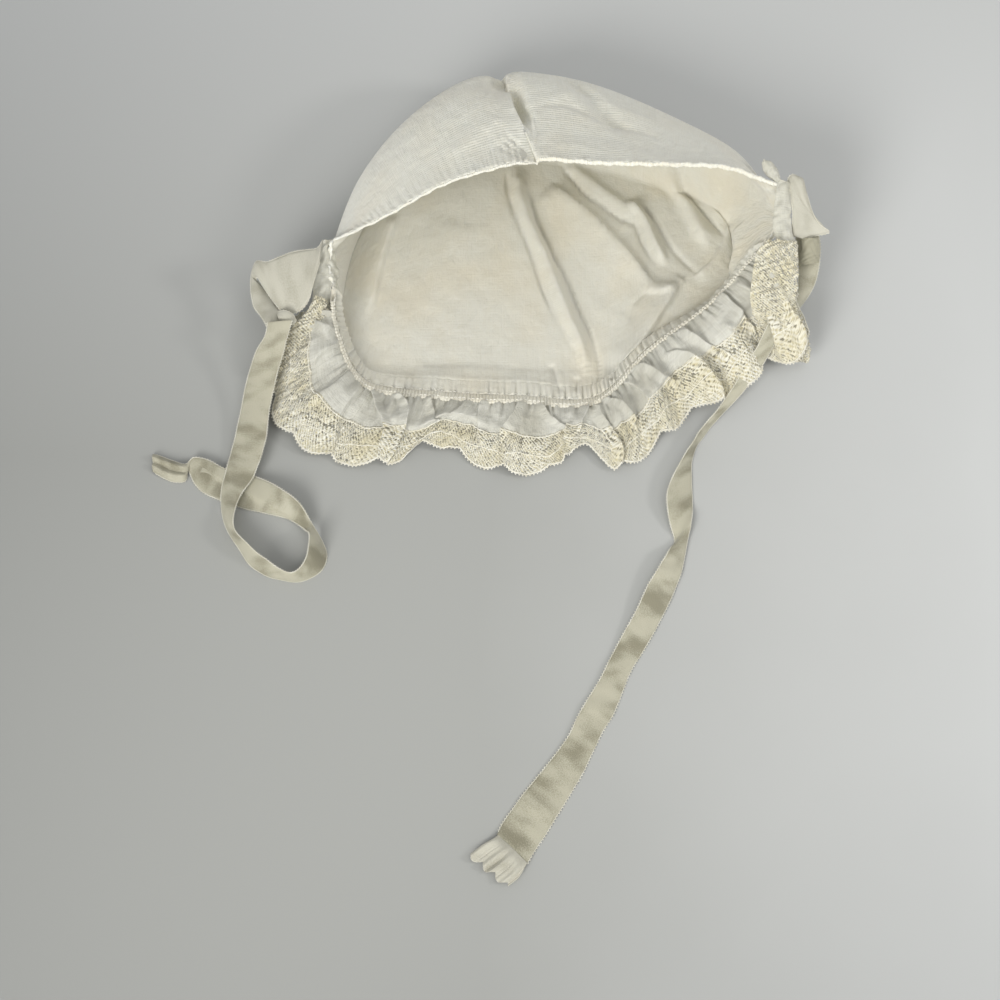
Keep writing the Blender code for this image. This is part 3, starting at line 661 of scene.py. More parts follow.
# Ruffle
# A strip of sheer corded lawn, gathered into the casing. It falls in uneven
# soft pleats that lap over one another, and is tucked back on itself in places.
RUFFLE_WIDTH = 0.0150
LACE_WIDTH = 0.0115
GATHERS = 12
WAVE_CREST = 0.80
FRILL_SPAN = (0.045, 0.975)
FRILL_BEND = 0.40
SCALLOP_PITCH = 0.0180
SCALLOP_DEPTH = 0.0034
WAVE_HEIGHT = 0.0030
WAVE_SWAY = 0.0012
RUFFLE_WALL = 0.00022
FRILL_UNDER = 0.0012           # how far the frill starts under the casing
FRILL_FLOOR = 0.0004           # the least height of the frill over the floor
RIM_LENGTH = 311.0             # mm along the frill's outer edge
FRILL_EDGE = np.array([
    # along  x       y       z
    [0.035, -0.563, -0.051,  0.200],
    [0.065, -0.592, -0.139,  0.127],
    [0.095, -0.615, -0.241,  0.082],
    [0.125, -0.615, -0.343,  0.064],
    [0.155, -0.586, -0.431,  0.055],
    [0.190, -0.517, -0.489,  0.027],
    [0.230, -0.437, -0.522,  0.022],
    [0.270, -0.374, -0.526,  0.022],
    [0.310, -0.322, -0.511,  0.022],
    [0.345, -0.284, -0.468,  0.045],
    [0.380, -0.218, -0.478,  0.027],
    [0.420, -0.138, -0.533,  0.022],
    [0.460, -0.069, -0.551,  0.022],
    [0.500, -0.006, -0.547,  0.022],
    [0.540,  0.055, -0.496,  0.045],
    [0.570,  0.098, -0.489,  0.055],
    [0.600,  0.144, -0.544,  0.022],
    [0.640,  0.207, -0.504,  0.027],
    [0.680,  0.259, -0.449,  0.045],
    [0.720,  0.310, -0.391,  0.064],
    [0.760,  0.368, -0.347,  0.073],
    [0.800,  0.428, -0.318,  0.091],
    [0.840,  0.471, -0.270,  0.127],
    [0.870,  0.506, -0.223,  0.164],
    [0.900,  0.557, -0.226,  0.173],
    [0.930,  0.586, -0.193,  0.200],
    [0.955,  0.583, -0.124,  0.291],
    [0.980,  0.560, -0.044,  0.473],
    [1.000,  0.549,  0.036,  0.655],
])
FRILL_PLEATS = [
    # share of the length at the casing and at the lace's edge, first and last place out from the
    # casing, half width, how far it laps over to the right or left, and height, in mm
    (0.030, 0.020, 0.10, 0.90, 2.4, -1.6, 1.0),
    (0.070, 0.060, 0.05, 0.80, 3.0, 2.0, 1.0),
    (0.112, 0.120, 0.00, 0.70, 2.6, -2.0, 0.9),
    (0.150, 0.165, 0.05, 1.00, 2.6, 2.0, 1.2),
    (0.186, 0.232, 0.00, 0.95, 1.3, -1.8, 2.4),
    (0.213, 0.268, 0.00, 1.00, 1.3, 2.2, 2.6),
    (0.284, 0.318, 0.00, 0.62, 1.2, 1.7, 1.5),
    (0.335, 0.330, 0.00, 0.45, 1.0, -1.2, 0.9),
    (0.388, 0.372, 0.00, 0.72, 1.3, -2.0, 1.7),
    (0.436, 0.412, 0.02, 0.66, 1.3, -2.1, 1.9),
    (0.478, 0.560, 0.00, 0.60, 1.3, 2.0, 1.8),
    (0.518, 0.530, 0.52, 1.00, 1.2, -2.0, 2.0),
    (0.548, 0.560, 0.05, 0.75, 1.2, 1.7, 1.8),
    (0.580, 0.600, 0.10, 1.00, 1.5, 2.2, 2.0),
    (0.606, 0.645, 0.00, 0.70, 1.2, 1.7, 1.6),
    (0.640, 0.700, 0.05, 0.60, 1.2, -1.6, 1.2),
    (0.670, 0.780, 0.00, 0.72, 1.4, 2.1, 2.0),
    (0.720, 0.790, 0.30, 1.00, 2.0, 2.4, 2.2),
    (0.768, 0.865, 0.05, 0.75, 1.4, 2.1, 1.9),
    (0.820, 0.870, 0.45, 1.00, 1.6, -2.2, 2.2),
    (0.868, 0.905, 0.00, 0.80, 1.8, 2.0, 1.6),
    (0.926, 0.905, 0.10, 0.95, 1.4, -2.0, 2.2),
    (0.962, 0.955, 0.30, 1.00, 1.5, 2.2, 2.2),
]
FRILL_TUCKS = [
    # middle and half length as shares, place out from the casing, overhang and height in mm
    (0.305, 0.075, 0.47, 2.6, 2.6),
    (0.700, 0.050, 0.55, 2.2, 2.0),
    (0.880, 0.060, 0.50, 2.4, 2.4),
]


def frill_surface(stations, places):
    """Surface of the gathered frill round the neck edge, ruffle and lace in one.

    A cross-line leaves the casing outwards and bends to the lace's outer edge,
    a quadratic curve. Gathers lift it off the floor as a wave whose height
    grows with the distance from the casing, and scallops shorten the reach.
    Each pleat is a bell that is moved along the frill by more than its own
    width, so that it laps over its neighbour, and a tuck does so outwards.
    """
    edge, out, up, run = edge_line(outer, inward, 0, 3, stations, *FRILL_SPAN)
    along = np.linspace(*FRILL_SPAN, stations)
    start = edge + out * (2 * SEAM_GAP + CASING_WIDTH - FRILL_UNDER) + up * CASING_LIFT
    size = [BONNET_WIDTH, BONNET_LENGTH, BRIM_HEIGHT]
    rim = smooth_rows(FRILL_EDGE[:, 0], FRILL_EDGE[:, 1:] * size, along)
    length = walked(rim)
    scallop = 1 - np.abs(np.sin(np.pi * length / SCALLOP_PITCH))
    reach = np.linalg.norm(rim - start, axis=1)
    rim = rim - (rim - start) * (scallop * SCALLOP_DEPTH / reach)[:, None]
    away = unit(np.cross(run, [0, 0, 1]))
    bend = start + (away + out) / 2 * (reach * FRILL_BEND)[:, None]
    w = places[None, :, None]
    points = start[:, None] * (1 - w) ** 2 + bend[:, None] * 2 * w * (1 - w) + rim[:, None] * w ** 2
    wave = 0.5 + 0.5 * np.sin(2 * np.pi * GATHERS * along + 1.3 * np.sin(9 * along))
    height = WAVE_HEIGHT * wave[:, None] * np.sin(np.pi * WAVE_CREST * places)
    points[..., 2] = np.maximum(points[..., 2], 0) + height
    sway = WAVE_SWAY * np.sin(2 * np.pi * GATHERS * along + 0.9)[:, None] * places
    share = np.linspace(0, 1, stations)[:, None]
    walk = walked(edge)[:, None] * 1000
    small = np.sin(walk / 0.62 + 2.4 * np.sin(walk / 4.1))
    small = small + 0.8 * np.sin(walk / 0.43 + 2.1 * np.sin(walk / 3.3))
    lift = 0.42 * small * np.exp(-(places / 0.26) ** 2) * ramp(places / 0.03)
    rays = np.sin(walk / 1.25 + 2.8 * np.sin(walk / 6.3) + 2 * places)
    lift = lift + 0.55 * np.clip(rays, -0.4, 1) * np.exp(-((places - 0.22) / 0.2) ** 2)
    slant = np.sin(walk / 1.9 + 6 * places + 3 * np.sin(walk / 8.7))
    lift = lift + 0.16 * slant * np.sin(7 * places + walk / 13)
    rim_walk = length[:, None] * 1000
    crumple = np.sin(rim_walk / 0.74 + 7 * places + 2.5 * np.sin(rim_walk / 5.7))
    crumple = crumple * np.sin(16 * places + rim_walk / 2.1)
    crumple = crumple + 0.7 * np.sin(rim_walk / 1.3 - 11 * places + 1.7 * np.sin(rim_walk / 3.9))
    lift = lift + 0.42 * crumple * ramp((places - 0.45) / 0.2)
    lap = sway * 1000
    for near, far, first, last, width, over, rise in FRILL_PLEATS:
        line = near + (far - near) * places
        bow = 0.010 * np.sin(np.pi * places * 1.4 + near * 60)
        gap = (share - line - bow) * RIM_LENGTH
        hold = ramp((places - first) / 0.10 + 0.4) * ramp((last - places) / 0.14 + 0.4)
        crest = bell(gap, -0.5 * width * np.sign(over), width)
        lap = lap + over * crest * hold
        lift = lift + rise * crest * hold
    overhang = 0 * lift
    for middle, half, place, over, rise in FRILL_TUCKS:
        hold = bell(share, middle, half)
        line = place - 0.07 * np.sin((share - middle) * 40)
        crest = bell(places - line, -0.05, 0.085)
        overhang = overhang + over * crest * hold
        lift = lift + rise * crest * hold
    away = unit(rim - start)
    points = points + (run[:, None] * lap[..., None] + away[:, None] * overhang[..., None]) / 1000
    points[..., 2] = np.maximum(points[..., 2] + lift / 1000, FRILL_FLOOR)
    return points, length


seam = RUFFLE_WIDTH / (RUFFLE_WIDTH + LACE_WIDTH)
ruffle = add_cloth("ruffle_lawn", frill_surface(1100, np.linspace(0, seam + 0.02, 42))[0], RUFFLE_WALL)
white_lawn = cotton("white ruffle lawn", (0.68, 0.672, 0.60), (0.54, 0.525, 0.445), (0.46, 0.445, 0.365),
                    0.8, True, crinkle=2.2, alpha=0.76, glow=0.2, cord=0.25)
dress(ruffle, white_lawn, "ruffle")

# Lace edging
# Narrow cotton bobbin lace sewn to the ruffle's edge: a firm header, a net with
# small holes, a half-moon of closer work in each scallop, an outline thread and
# small loops along the edge. Old and washed, it is crumpled and has yellowed.
PICOT_PITCH = 0.0015
PICOT_REACH = 0.00065
PICOT_THREAD = (0.00042, 0.00036)      # a thread's width and height
OUTLINE_THREAD = (0.00046, 0.00040)
OUTLINE_STEP = 0.0005
OUTLINE_LIFT = 0.00020
THREAD_FLOOR = 0.0003          # the least height of a thread or ribbon over the floor
LACE_WALL = 0.00030
HEADER_PLACE = 0.05            # shares of the lace's width
MOON_PLACE = 0.78
MOON_RISE = 0.26
HOLE_PITCH = 1.22              # mm between holes along a row
HOLE_ROWS = 1.62               # mm over two rows of holes


def sampler(points):
    """A reader of a grid of points between its rows and columns, bilinear in
    the share of its length and of its width."""
    rows, columns = points.shape[:2]

    def read(along, across):
        """Points at shares of the length and of the width."""
        along, across = np.broadcast_arrays(along, across)
        a = np.clip(along, 0, 1) * (rows - 1)
        b = np.clip(across, 0, 1) * (columns - 1)
        i = np.minimum(a.astype(int), rows - 2)
        j = np.minimum(b.astype(int), columns - 2)
        s, t = (a - i)[..., None], (b - j)[..., None]
        return ((points[i, j] * (1 - s) + points[i + 1, j] * s) * (1 - t)
                + (points[i, j + 1] * (1 - s) + points[i + 1, j + 1] * s) * t)
    return read


def picot_path(line, out, pitch, reach):
    """A thread that runs along a line and makes a small loop outwards at each
    pitch: a cycloid, whose step back along the line is a sine."""
    walk = walked(line)
    count = int(walk[-1] / pitch) * 8
    place = np.linspace(0, walk[-1], count)
    turn = 2 * np.pi * place / pitch
    pull = place + 0.30 * pitch * np.sin(turn)
    ways = unit(read_off(out, walk, pull))
    return read_off(line, walk, pull) + ways * (reach * (0.5 - 0.5 * np.cos(turn)))[:, None]


def scallop_rise(place):
    """Height of the half-moon's inner edge: half a sine over each scallop."""
    return np.abs(np.sin(np.pi * place / SCALLOP_PITCH)) ** 0.8


def lace_work(name, light, warm, width):
    """Lace in one finish: slanting waves of threads cross, and where they leave
    a gap there is a hole. The waves' mesh is wide in the net, wider still along
    the half-moons and close inside them, and clumps of thread close some holes.
    width is the lace's own, in mm."""
    finish, shader, spin, along, across = new_finish(name, 0.9, 0.3, 0.25)
    drift = spin.cloud(along, across, 2.4, 2.0) - 0.5
    fine = spin.cloud(along, across, 1.1, 3.0)
    patches = spin.cloud(along, across, 16.0, 3.0)
    clumps = spin.cloud(along, across, 3.4, 2.0)
    a = along / HOLE_PITCH + drift * 2.4
    b = (across + drift * 2.8) / HOLE_ROWS
    mesh = (a + b).wave(1.0) + (a - b).wave(1.0)
    angle = along * (np.pi / (SCALLOP_PITCH * 1000))
    turn = spin.reckon("SINE", angle)
    inner = MOON_PLACE - (turn * turn + 0.02) ** 0.4 * MOON_RISE
    beyond = across / width - inner
    close = (beyond * 30.0).clamped()
    arc = (1.0 - spin.reckon("ABSOLUTE", beyond + 0.05) * 16.0).clamped()
    header = (1.0 - across / (width * 0.10)).clamped()
    limit = 1.32 + close * 0.30 - arc * 0.20 + header * 0.6
    solid = ((limit - mesh * 0.75 + (fine - 0.5) * 4.2 + (clumps - 0.5) * 2.2 - 0.08) * 1.6 + 0.5).clamped()
    tint = spin.blend(((patches - 0.40) * 3.0).clamped(), (*light, 1), (*warm, 1))
    # Painted shade with random tone: the colour darkens where the mesh opens into holes, and also with the
    # fine noise.
    hole_shade_tone = (warm[0] * 0.80, warm[1] * 0.78, warm[2] * 0.70, 1)
    tint = spin.blend(((mesh + fine - 1.1) * 0.8).clamped(), tint, hole_shade_tone)
    (fine * 1.4 - mesh * 0.6 + clumps).emboss(shader, 0.8, 0.0005)
    tint.into(shader, "Base Color")
    (solid * 0.76 + 0.20).into(shader, "Alpha")
    return finish


def add_lace(name, points, cloth_finish, thread_finish, walk):
    """The edging on a grid of points from its header to its edge: the worked
    ground, the outline threads and the picots, one piece for each. walk is the
    length along its edge, measured before the scallops were cut into it."""
    read = sampler(points)
    up = np.array([0, 0, 1.0])
    ground = add_cloth(name + "_ground", points, LACE_WALL, along=walk)
    count = int(walk[-1] / OUTLINE_STEP)
    place = np.linspace(0, walk[-1], count)
    share = np.interp(place, walk, np.linspace(0, 1, len(walk)))
    moons = MOON_PLACE - MOON_RISE * scallop_rise(place)
    levels = np.stack([np.full(count, HEADER_PLACE), moons, np.full(count, 0.99)])
    outline = read(np.broadcast_to(share, levels.shape), levels)
    outline[..., 2] += OUTLINE_LIFT
    threads = [thread_mesh(name + "_outline", outline, up, *OUTLINE_THREAD)]
    rim = points[:, -1]
    paths = picot_path(rim, unit(rim - points[:, -4]), PICOT_PITCH, PICOT_REACH)[None]
    paths[..., 2] = np.maximum(paths[..., 2], THREAD_FLOOR)
    threads.append(thread_mesh(name + "_picots", paths, up, *PICOT_THREAD))
    dress(ground, cloth_finish, "lace_edging")
    for piece in threads:
        dress(piece, thread_finish, "lace_edging")
    return [ground, *threads]


lace_cotton = cotton_thread("lace thread", (0.84, 0.82, 0.72), (0.74, 0.69, 0.53))
lace_cloth = lace_work("bobbin lace", (0.80, 0.78, 0.675), (0.71, 0.655, 0.475), LACE_WIDTH * 1000)
lace_points, lace_length = frill_surface(1500, seam + (1 - seam) * np.linspace(0, 1, 32))
lace_pieces = add_lace("lace", lace_points, lace_cloth, lace_cotton, lace_length)

# Satin ties and loops
# Narrow ivory satin ribbon with a fine looped selvedge. At each ear corner it
# is folded into a loop and sewn down, and its long end runs out over the floor.
# The lie is set by its two edges, each a row of points on the photograph.
RIBBON_WIDTH = 0.0155          # as it shows at its widest; elsewhere the rest is taken as turned under
SATIN_WALL = 0.00020
SELVEDGE_PITCH = 0.00115
SELVEDGE_REACH = 0.00045
SELVEDGE_THREAD = (0.00038, 0.00032)
FACE_COLUMNS = 19
MARGIN_DEPTHS = (0.15, 0.36, 0.44, 0.46, 0.46, 0.46, 0.46)     # mm under the face, a column each
MARGIN_COLUMNS = len(MARGIN_DEPTHS)
VIEW_PLACE = np.array([-0.018, -0.3271, 0.54265])
VIEW_TILT = np.radians(24)
VIEW_LENS = 56.27
VIEW_SENSOR = 36
VIEW_SIZE = 1000               # pixels each way
VIEW_PIXELS = VIEW_SIZE * VIEW_LENS / VIEW_SENSOR
RIGHT_TIE = np.array([
    # left edge x, y, height   right edge x, y, height   pixels and mm
    [771, 318, 21.0, 790, 308, 23.0],
    [760, 342, 17.0, 780, 332, 18.0],
    [745, 367, 11.0, 764, 362, 11.0],
    [731, 391,  7.0, 745, 389,  6.5],
    [718, 409,  5.5, 728, 408,  4.0],
    [703, 427,  5.0, 709, 429,  1.2],
    [689, 448,  5.0, 695, 450,  0.8],
    [673, 477,  5.0, 691, 470,  0.5],
    [668, 491,  4.5, 691, 482,  0.4],
    [668, 509,  3.6, 692, 502,  0.5],
    [671, 525,  2.0, 692, 513,  1.4],
    [675, 540,  0.5, 691, 523,  2.6],
    [670, 549,  4.2, 687, 543,  1.2],
    [663, 561,  4.6, 682, 568,  1.0],
    [648, 586,  3.6, 671, 598,  0.8],
    [637, 610,  2.8, 658, 624,  0.6],
    [622, 637,  1.5, 644, 649,  0.5],
    [610, 660,  1.3, 630, 672,  0.4],
    [600, 680,  1.2, 622, 692,  0.4],
    [587, 701,  1.2, 612, 716,  0.4],
    [580, 713,  1.1, 605, 727,  0.4],
    [567, 739,  1.0, 590, 757,  0.4],
    [556, 754,  0.9, 583, 772,  0.4],
    [545, 768,  0.7, 573, 789,  0.4],
    [523, 795,  0.5, 554, 820,  0.4],
    [513, 809,  0.5, 545, 835,  0.4],
    [503, 823,  0.7, 534, 851,  0.6],
    [497, 835,  1.2, 525, 867,  1.0],
])
RIGHT_END = np.array([
    [498, 835, 1.3, 527, 863, 1.1],
    [493, 839, 2.0, 524, 869, 1.9],
    [484, 844, 1.6, 519, 877, 1.5],
    [472, 853, 0.8, 510, 884, 0.8],
])
LEFT_TIE = np.array([
    [268, 322, 20.0, 292, 320, 22.0],
    [266, 334, 18.0, 288, 333, 20.0],
    [257, 350, 14.0, 284, 349, 17.0],
    [249, 374,  9.0, 277, 374, 13.0],
    [243, 401,  5.5, 270, 404,  9.0],
    [236, 435,  3.0, 265, 440,  6.0],
    [228, 465,  2.4, 254, 474,  4.6],
    [221, 496,  2.2, 237, 502,  5.0],
    [224, 522,  0.8, 234, 527,  7.0],
    [238, 548,  0.3, 250, 546,  7.0],
    [255, 569,  0.3, 268, 561,  6.0],
    [280, 580,  0.3, 287, 572,  5.5],
    [302, 581,  0.3, 298, 570,  7.0],
    [320, 572,  0.3, 306, 558,  8.5],
    [327, 556,  0.3, 309, 545,  9.0],
    [322, 540,  0.4, 309, 534,  7.5],
    [312, 524,  3.0, 306, 530,  3.6],
    [300, 505,  5.0, 289, 519,  0.6],
    [279, 489,  4.0, 266, 513,  0.5],
    [255, 478,  1.4, 240, 507,  0.4],
    [238, 474,  0.8, 221, 500,  0.4],
    [222, 469,  1.0, 205, 493,  0.4],
    [206, 460,  1.8, 194, 482,  0.4],
    [193, 458,  2.6, 188, 470,  0.7],
    [186, 464,  2.2, 186, 480,  0.5],
    [173, 461,  1.4, 177, 482,  0.4],
    [160, 456,  1.0, 166, 479,  0.4],
    [153, 454,  0.8, 153, 472,  0.4],
])
LEFT_LOOP = np.array([
    [323, 240, 26.5, 320, 262, 26.0],
    [317, 248, 26.5, 314, 280, 25.0],
    [306, 250, 26.5, 309, 299, 22.5],
    [293, 252, 26.0, 299, 311, 19.5],
    [280, 257, 25.0, 285, 313, 18.0],
    [268, 262, 23.5, 271, 298, 18.5],
    [254, 264, 21.0, 257, 277, 20.0],
    [252, 270, 19.0, 256, 278, 18.5],
    [251, 289, 16.5, 264, 289, 17.0],
    [254, 306, 16.0, 273, 300, 16.0],
    [262, 317, 17.0, 282, 312, 16.5],
    [268, 328, 18.5, 288, 324, 18.5],
])
LEFT_CURL = np.array([
    [278, 312, 19.5, 280, 321, 19.0],
    [285, 311, 21.5, 286, 323, 20.0],
    [292, 314, 21.0, 291, 325, 19.5],
    [297, 320, 19.5, 293, 326, 19.0],
])
RIGHT_LOOP = np.array([
    [791, 236, 31.0, 803, 239, 30.0],
    [793, 214, 35.0, 813, 236, 30.5],
    [791, 196, 37.5, 829, 232, 30.5],
    [788, 181, 39.0, 818, 222, 33.5],
    [790, 176, 39.5, 811, 208, 36.0],
    [795, 175, 39.5, 806, 192, 38.0],
    [799, 177, 38.5, 803, 186, 38.0],
])
RIGHT_STRAND = np.array([
    [795, 232, 28.0, 819, 236, 29.0],
    [798, 250, 25.0, 820, 251, 26.0],
    [799, 268, 23.0, 817, 275, 22.0],
    [798, 288, 21.0, 811, 291, 18.5],
    [793, 306, 20.5, 798, 310, 17.5],
    [786, 318, 21.0, 789, 320, 18.0],
])


def seen_at(pixels, height):
    """Points at a height in mm over the floor whose images fall on pixels of
    the photograph: the line of sight from the camera, followed to that height."""
    side = (pixels[..., 0] - VIEW_SIZE / 2) / VIEW_PIXELS
    rise = (VIEW_SIZE / 2 - pixels[..., 1]) / VIEW_PIXELS
    ahead = rise * np.cos(VIEW_TILT) + np.sin(VIEW_TILT)
    way = np.stack([side, ahead, rise * np.sin(VIEW_TILT) - np.cos(VIEW_TILT)], -1)
    return VIEW_PLACE + way * ((height / 1000 - VIEW_PLACE[2]) / way[..., 2])[..., None]


def ruled(rows, stations, columns, bow=0.25, ripple=0.20, tuck=True):
    """A strip of ribbon between two edges. Each edge is a smooth curve through
    its points, the columns lie evenly between them, and the middle is bowed up
    by a parabola and rippled along its length by sines, in mm. What the ribbon
    is wider than the two edges is turned under along the left edge."""
    left = seen_at(rows[:, 0:2], rows[:, 2])
    right = seen_at(rows[:, 3:5], rows[:, 5])
    chord = walked((left + right) / 2)
    both = smooth_rows(chord, np.column_stack([left, right]), np.linspace(0, chord[-1], stations))
    share = np.linspace(0, 1, columns)[None, :, None]
    points = both[:, None, :3] * (1 - share) + both[:, None, 3:] * share
    walk = walked((both[:, :3] + both[:, 3:]) / 2)[:, None] * 1000
    across = share[..., 0]
    swell = bow * 4 * across * (1 - across)
    swell = swell + ripple * np.sin(walk / 2.7 + 2 * across + 2.2 * np.sin(walk / 9)) * np.sin(walk / 6.1 + 1)
    lifted = surface_normals(points, 3) * (swell / 1000)[..., None]
    points = points + lifted * np.sign(lifted[..., 2:].mean())
    if tuck:
        breadth = np.linalg.norm(points[:, -1] - points[:, 0], axis=1)
        turned = np.clip(RIBBON_WIDTH - breadth, 0.0004, 0.82 * breadth)[:, None, None]
        turned = turned * np.linspace(0, 1, MARGIN_COLUMNS)[None, :, None]
        under = unit(points[:, -1] - points[:, 0])[:, None] * turned
        gap = unit(np.cross(unit(np.gradient(both[:, :3], axis=0)), unit(both[:, 3:] - both[:, :3])))
        gap *= np.where(gap[:, 2:] > 0, 1, -1)
        depth = np.array(MARGIN_DEPTHS)[None, :, None] / 1000
        margin = points[:, :1] + under - gap[:, None] * depth
        points = np.concatenate([margin[:, ::-1], points], axis=1)
    points[..., 2] = np.maximum(points[..., 2], THREAD_FLOOR)
    return points


def satin(name, light, dark, alpha=1.0):
    """Ribbon satin: a grain of fine floats, soft stripes across it where it has been creased,
    with painted sheen and shade in their colour, and a shine that changes from stripe to stripe."""
    finish, shader, spin, along, across = new_finish(name, 0.42, 0.20, 0.15)
    crease_sheen_bands = spin.cloud(along, across, 8.5, 2.0, (1.0, 1.7))
    slant = spin.cloud(along + across * 0.8, across, 11.0, 1.0, (1.0, 4.0))
    grain = spin.cloud(along, across, 0.40, 2.0)
    floats = spin.cloud(along, across, 0.30, 1.0, (6.0, 0.7))
    # Painted sheen and shade: the broad creased and slanted noises make the colour lighter and darker, as the
    # satin's shine and shade would; the fine grain is the weave's own.
    sheen_and_shade_mix = (crease_sheen_bands - 0.44) * 2.9 + (slant - 0.47) * 2.2 + (grain - 0.5) * 1.5
    tint = spin.blend(sheen_and_shade_mix, (*light, 1), (*dark, 1))
    (floats * 0.6 + grain * 0.5 + crease_sheen_bands * 2.0).emboss(shader, 0.5, 0.0003)
    tint.into(shader, "Base Color")
    (crease_sheen_bands * 0.30 + 0.26).into(shader, "Roughness")
    shader.inputs["Alpha"].default_value = alpha
    return finish


def add_selvedge(name, points, finish):
    """The looped threads along the two edges of a ribbon's face."""
    paths = []
    loops = int(walked(points[:, MARGIN_COLUMNS])[-1] / SELVEDGE_PITCH)
    for edge_index, next_index in ((MARGIN_COLUMNS, MARGIN_COLUMNS + 2), (-1, -3)):
        line = points[:, edge_index]
        out = unit(line - points[:, next_index])
        paths.append(picot_path(line, out, walked(line)[-1] / loops, SELVEDGE_REACH)[:loops * 8 - 8])
    paths = np.stack(paths)
    paths[..., 2] = np.maximum(paths[..., 2], THREAD_FLOOR)
    piece = thread_mesh(name, paths, np.array([0, 0, 1.0]), *SELVEDGE_THREAD)
    dress(piece, finish)
    return piece


# The ties' satin is painted darker than the loops' pale satin, though it is the same ribbon: painted shade
# for the angle at which it meets the light.
shaded_ribbon_satin = satin("ivory satin", (0.455, 0.435, 0.335), (0.25, 0.234, 0.165))
loop_satin = satin("pale satin", (0.63, 0.61, 0.51), (0.48, 0.46, 0.37), 0.74)
# A still darker satin for the right strand's back: painted shade.
shaded_back_satin = satin("shaded satin back", (0.33, 0.315, 0.235), (0.26, 0.245, 0.175))
selvedge_thread = cotton_thread("selvedge thread", (0.80, 0.78, 0.66), (0.62, 0.59, 0.46))
CREASE_RUN = (0.69, 0.92)       # shares of the left tie's length
CREASE_PLACE = (0.95, 0.20)     # shares of its width
CREASE_HEIGHT = 0.0012
ROLLED_FROM = 0.925             # from here to its end both edges are rolled up
ROLLED_HEIGHT = 0.0016
ribbons = {}
for name, rows, stations, finish, bow, solid in (
        ("right_tie_satin", RIGHT_TIE, 560, shaded_ribbon_satin, 0.2, "right_tie"),
        ("left_tie_satin", LEFT_TIE, 560, shaded_ribbon_satin, 0.2, "left_tie"),
        ("left_loop_satin", LEFT_LOOP, 200, loop_satin, 1.0, "left_loop"),
        ("left_loop_curl", LEFT_CURL, 60, loop_satin, 0.6, None),
        ("right_loop_satin", RIGHT_LOOP, 140, loop_satin, 1.2, "right_loop"),
        ("right_strand_satin", RIGHT_STRAND, 140, shaded_ribbon_satin, 0.6, None)):
    points = ruled(rows, stations, FACE_COLUMNS, bow)
    if name == "left_tie_satin":
        along_share = np.linspace(0, 1, stations)[:, None]
        face_share = np.clip(np.arange(-MARGIN_COLUMNS, FACE_COLUMNS) / (FACE_COLUMNS - 1), 0, 1)[None, :]
        crease = np.interp(along_share, CREASE_RUN, CREASE_PLACE)
        creased = ramp((along_share - CREASE_RUN[0]) / 0.04) * ramp((CREASE_RUN[1] - along_share) / 0.05)
        points[..., 2] += CREASE_HEIGHT * creased * ramp((crease - face_share) / 0.12 + 0.5)
        rolled = ramp((along_share - ROLLED_FROM) / 0.02) * np.sin(2 * np.pi * face_share) ** 2
        points[..., 2] += ROLLED_HEIGHT * rolled
    ribbon = add_cloth(name, points, SATIN_WALL)
    dress(ribbon, finish, solid)
    edge_piece = add_selvedge(name + "_edges", points, selvedge_thread)
    length = round(float(walked(points[:, MARGIN_COLUMNS + FACE_COLUMNS // 2])[-1]), 3)
    ribbons[name] = (ribbon, edge_piece, length)
curl = ribbons.pop("left_loop_curl")[:2]
for name, (ribbon, edge_piece, length) in ribbons.items():
    added = curl if name == "left_loop_satin" else ()

# Ribbon end
# The right tie's cut end is pleated up along a fold and has begun to fray, so
# it opens into small round lobes. Its single loose threads are left out.
END_GRID = (60, 90)
PLEAT_HEIGHT = 0.0011
LOBE_REACH = 0.0022

points = ruled(RIGHT_END, *END_GRID, 0.2, tuck=False)
end_share = np.linspace(0, 1, END_GRID[0])[:, None]
side_share = np.linspace(0, 1, END_GRID[1])[None, :]
pleats = np.abs(np.sin(np.pi * side_share * 4 + 0.5)) + 0.3 * np.sin(side_share * 37)
points[..., 2] += PLEAT_HEIGHT * pleats * ramp(end_share / 0.6)
lobes = LOBE_REACH * np.abs(np.sin(np.pi * side_share * 3.1 + 0.2)) * end_share ** 2
points += unit(points[-1] - points[0])[None] * lobes[..., None]
ribbon_end = add_cloth("right_tie_end", points, SATIN_WALL)
dress(ribbon_end, loop_satin)

# Ear corners
# Where a tie is sewn on, the ruffle's raw end is gathered into a sheer upright
# column, and the lace's end is bunched over it and hangs down in a fold.
CORNER_GRID = (150, 60)
CORNER_BOW = 1.5               # mm
# A darker satin patch over the right strand's upper part: painted shade where the strand's back lies in
# shadow.
STRAND_SHADED_BACK = np.array([
    [801, 238, 30.0, 819, 239, 30.5],
    [802, 248, 28.5, 820, 249, 29.0],
    [800, 258, 27.0, 819, 257, 27.5],
    [797, 266, 25.5, 819, 263, 26.5],
])
RIGHT_COLUMN = np.array([
    [778, 180, 39.5, 789, 184, 38.5],
    [776, 192, 38.5, 792, 196, 37.0],
    [774, 208, 36.5, 791, 210, 35.5],
    [773, 224, 34.0, 791, 226, 33.5],
    [775, 236, 32.5, 794, 238, 32.0],
    [779, 245, 31.5, 797, 247, 31.0],
])
RIGHT_CAP = np.array([
    [762, 163, 40.5, 764, 161, 40.5],
    [763, 170, 40.0, 770, 161, 41.0],
    [767, 176, 39.5, 775, 166, 41.0],
    [773, 180, 39.5, 779, 173, 40.5],
    [777, 183, 39.5, 780, 180, 39.5],
])
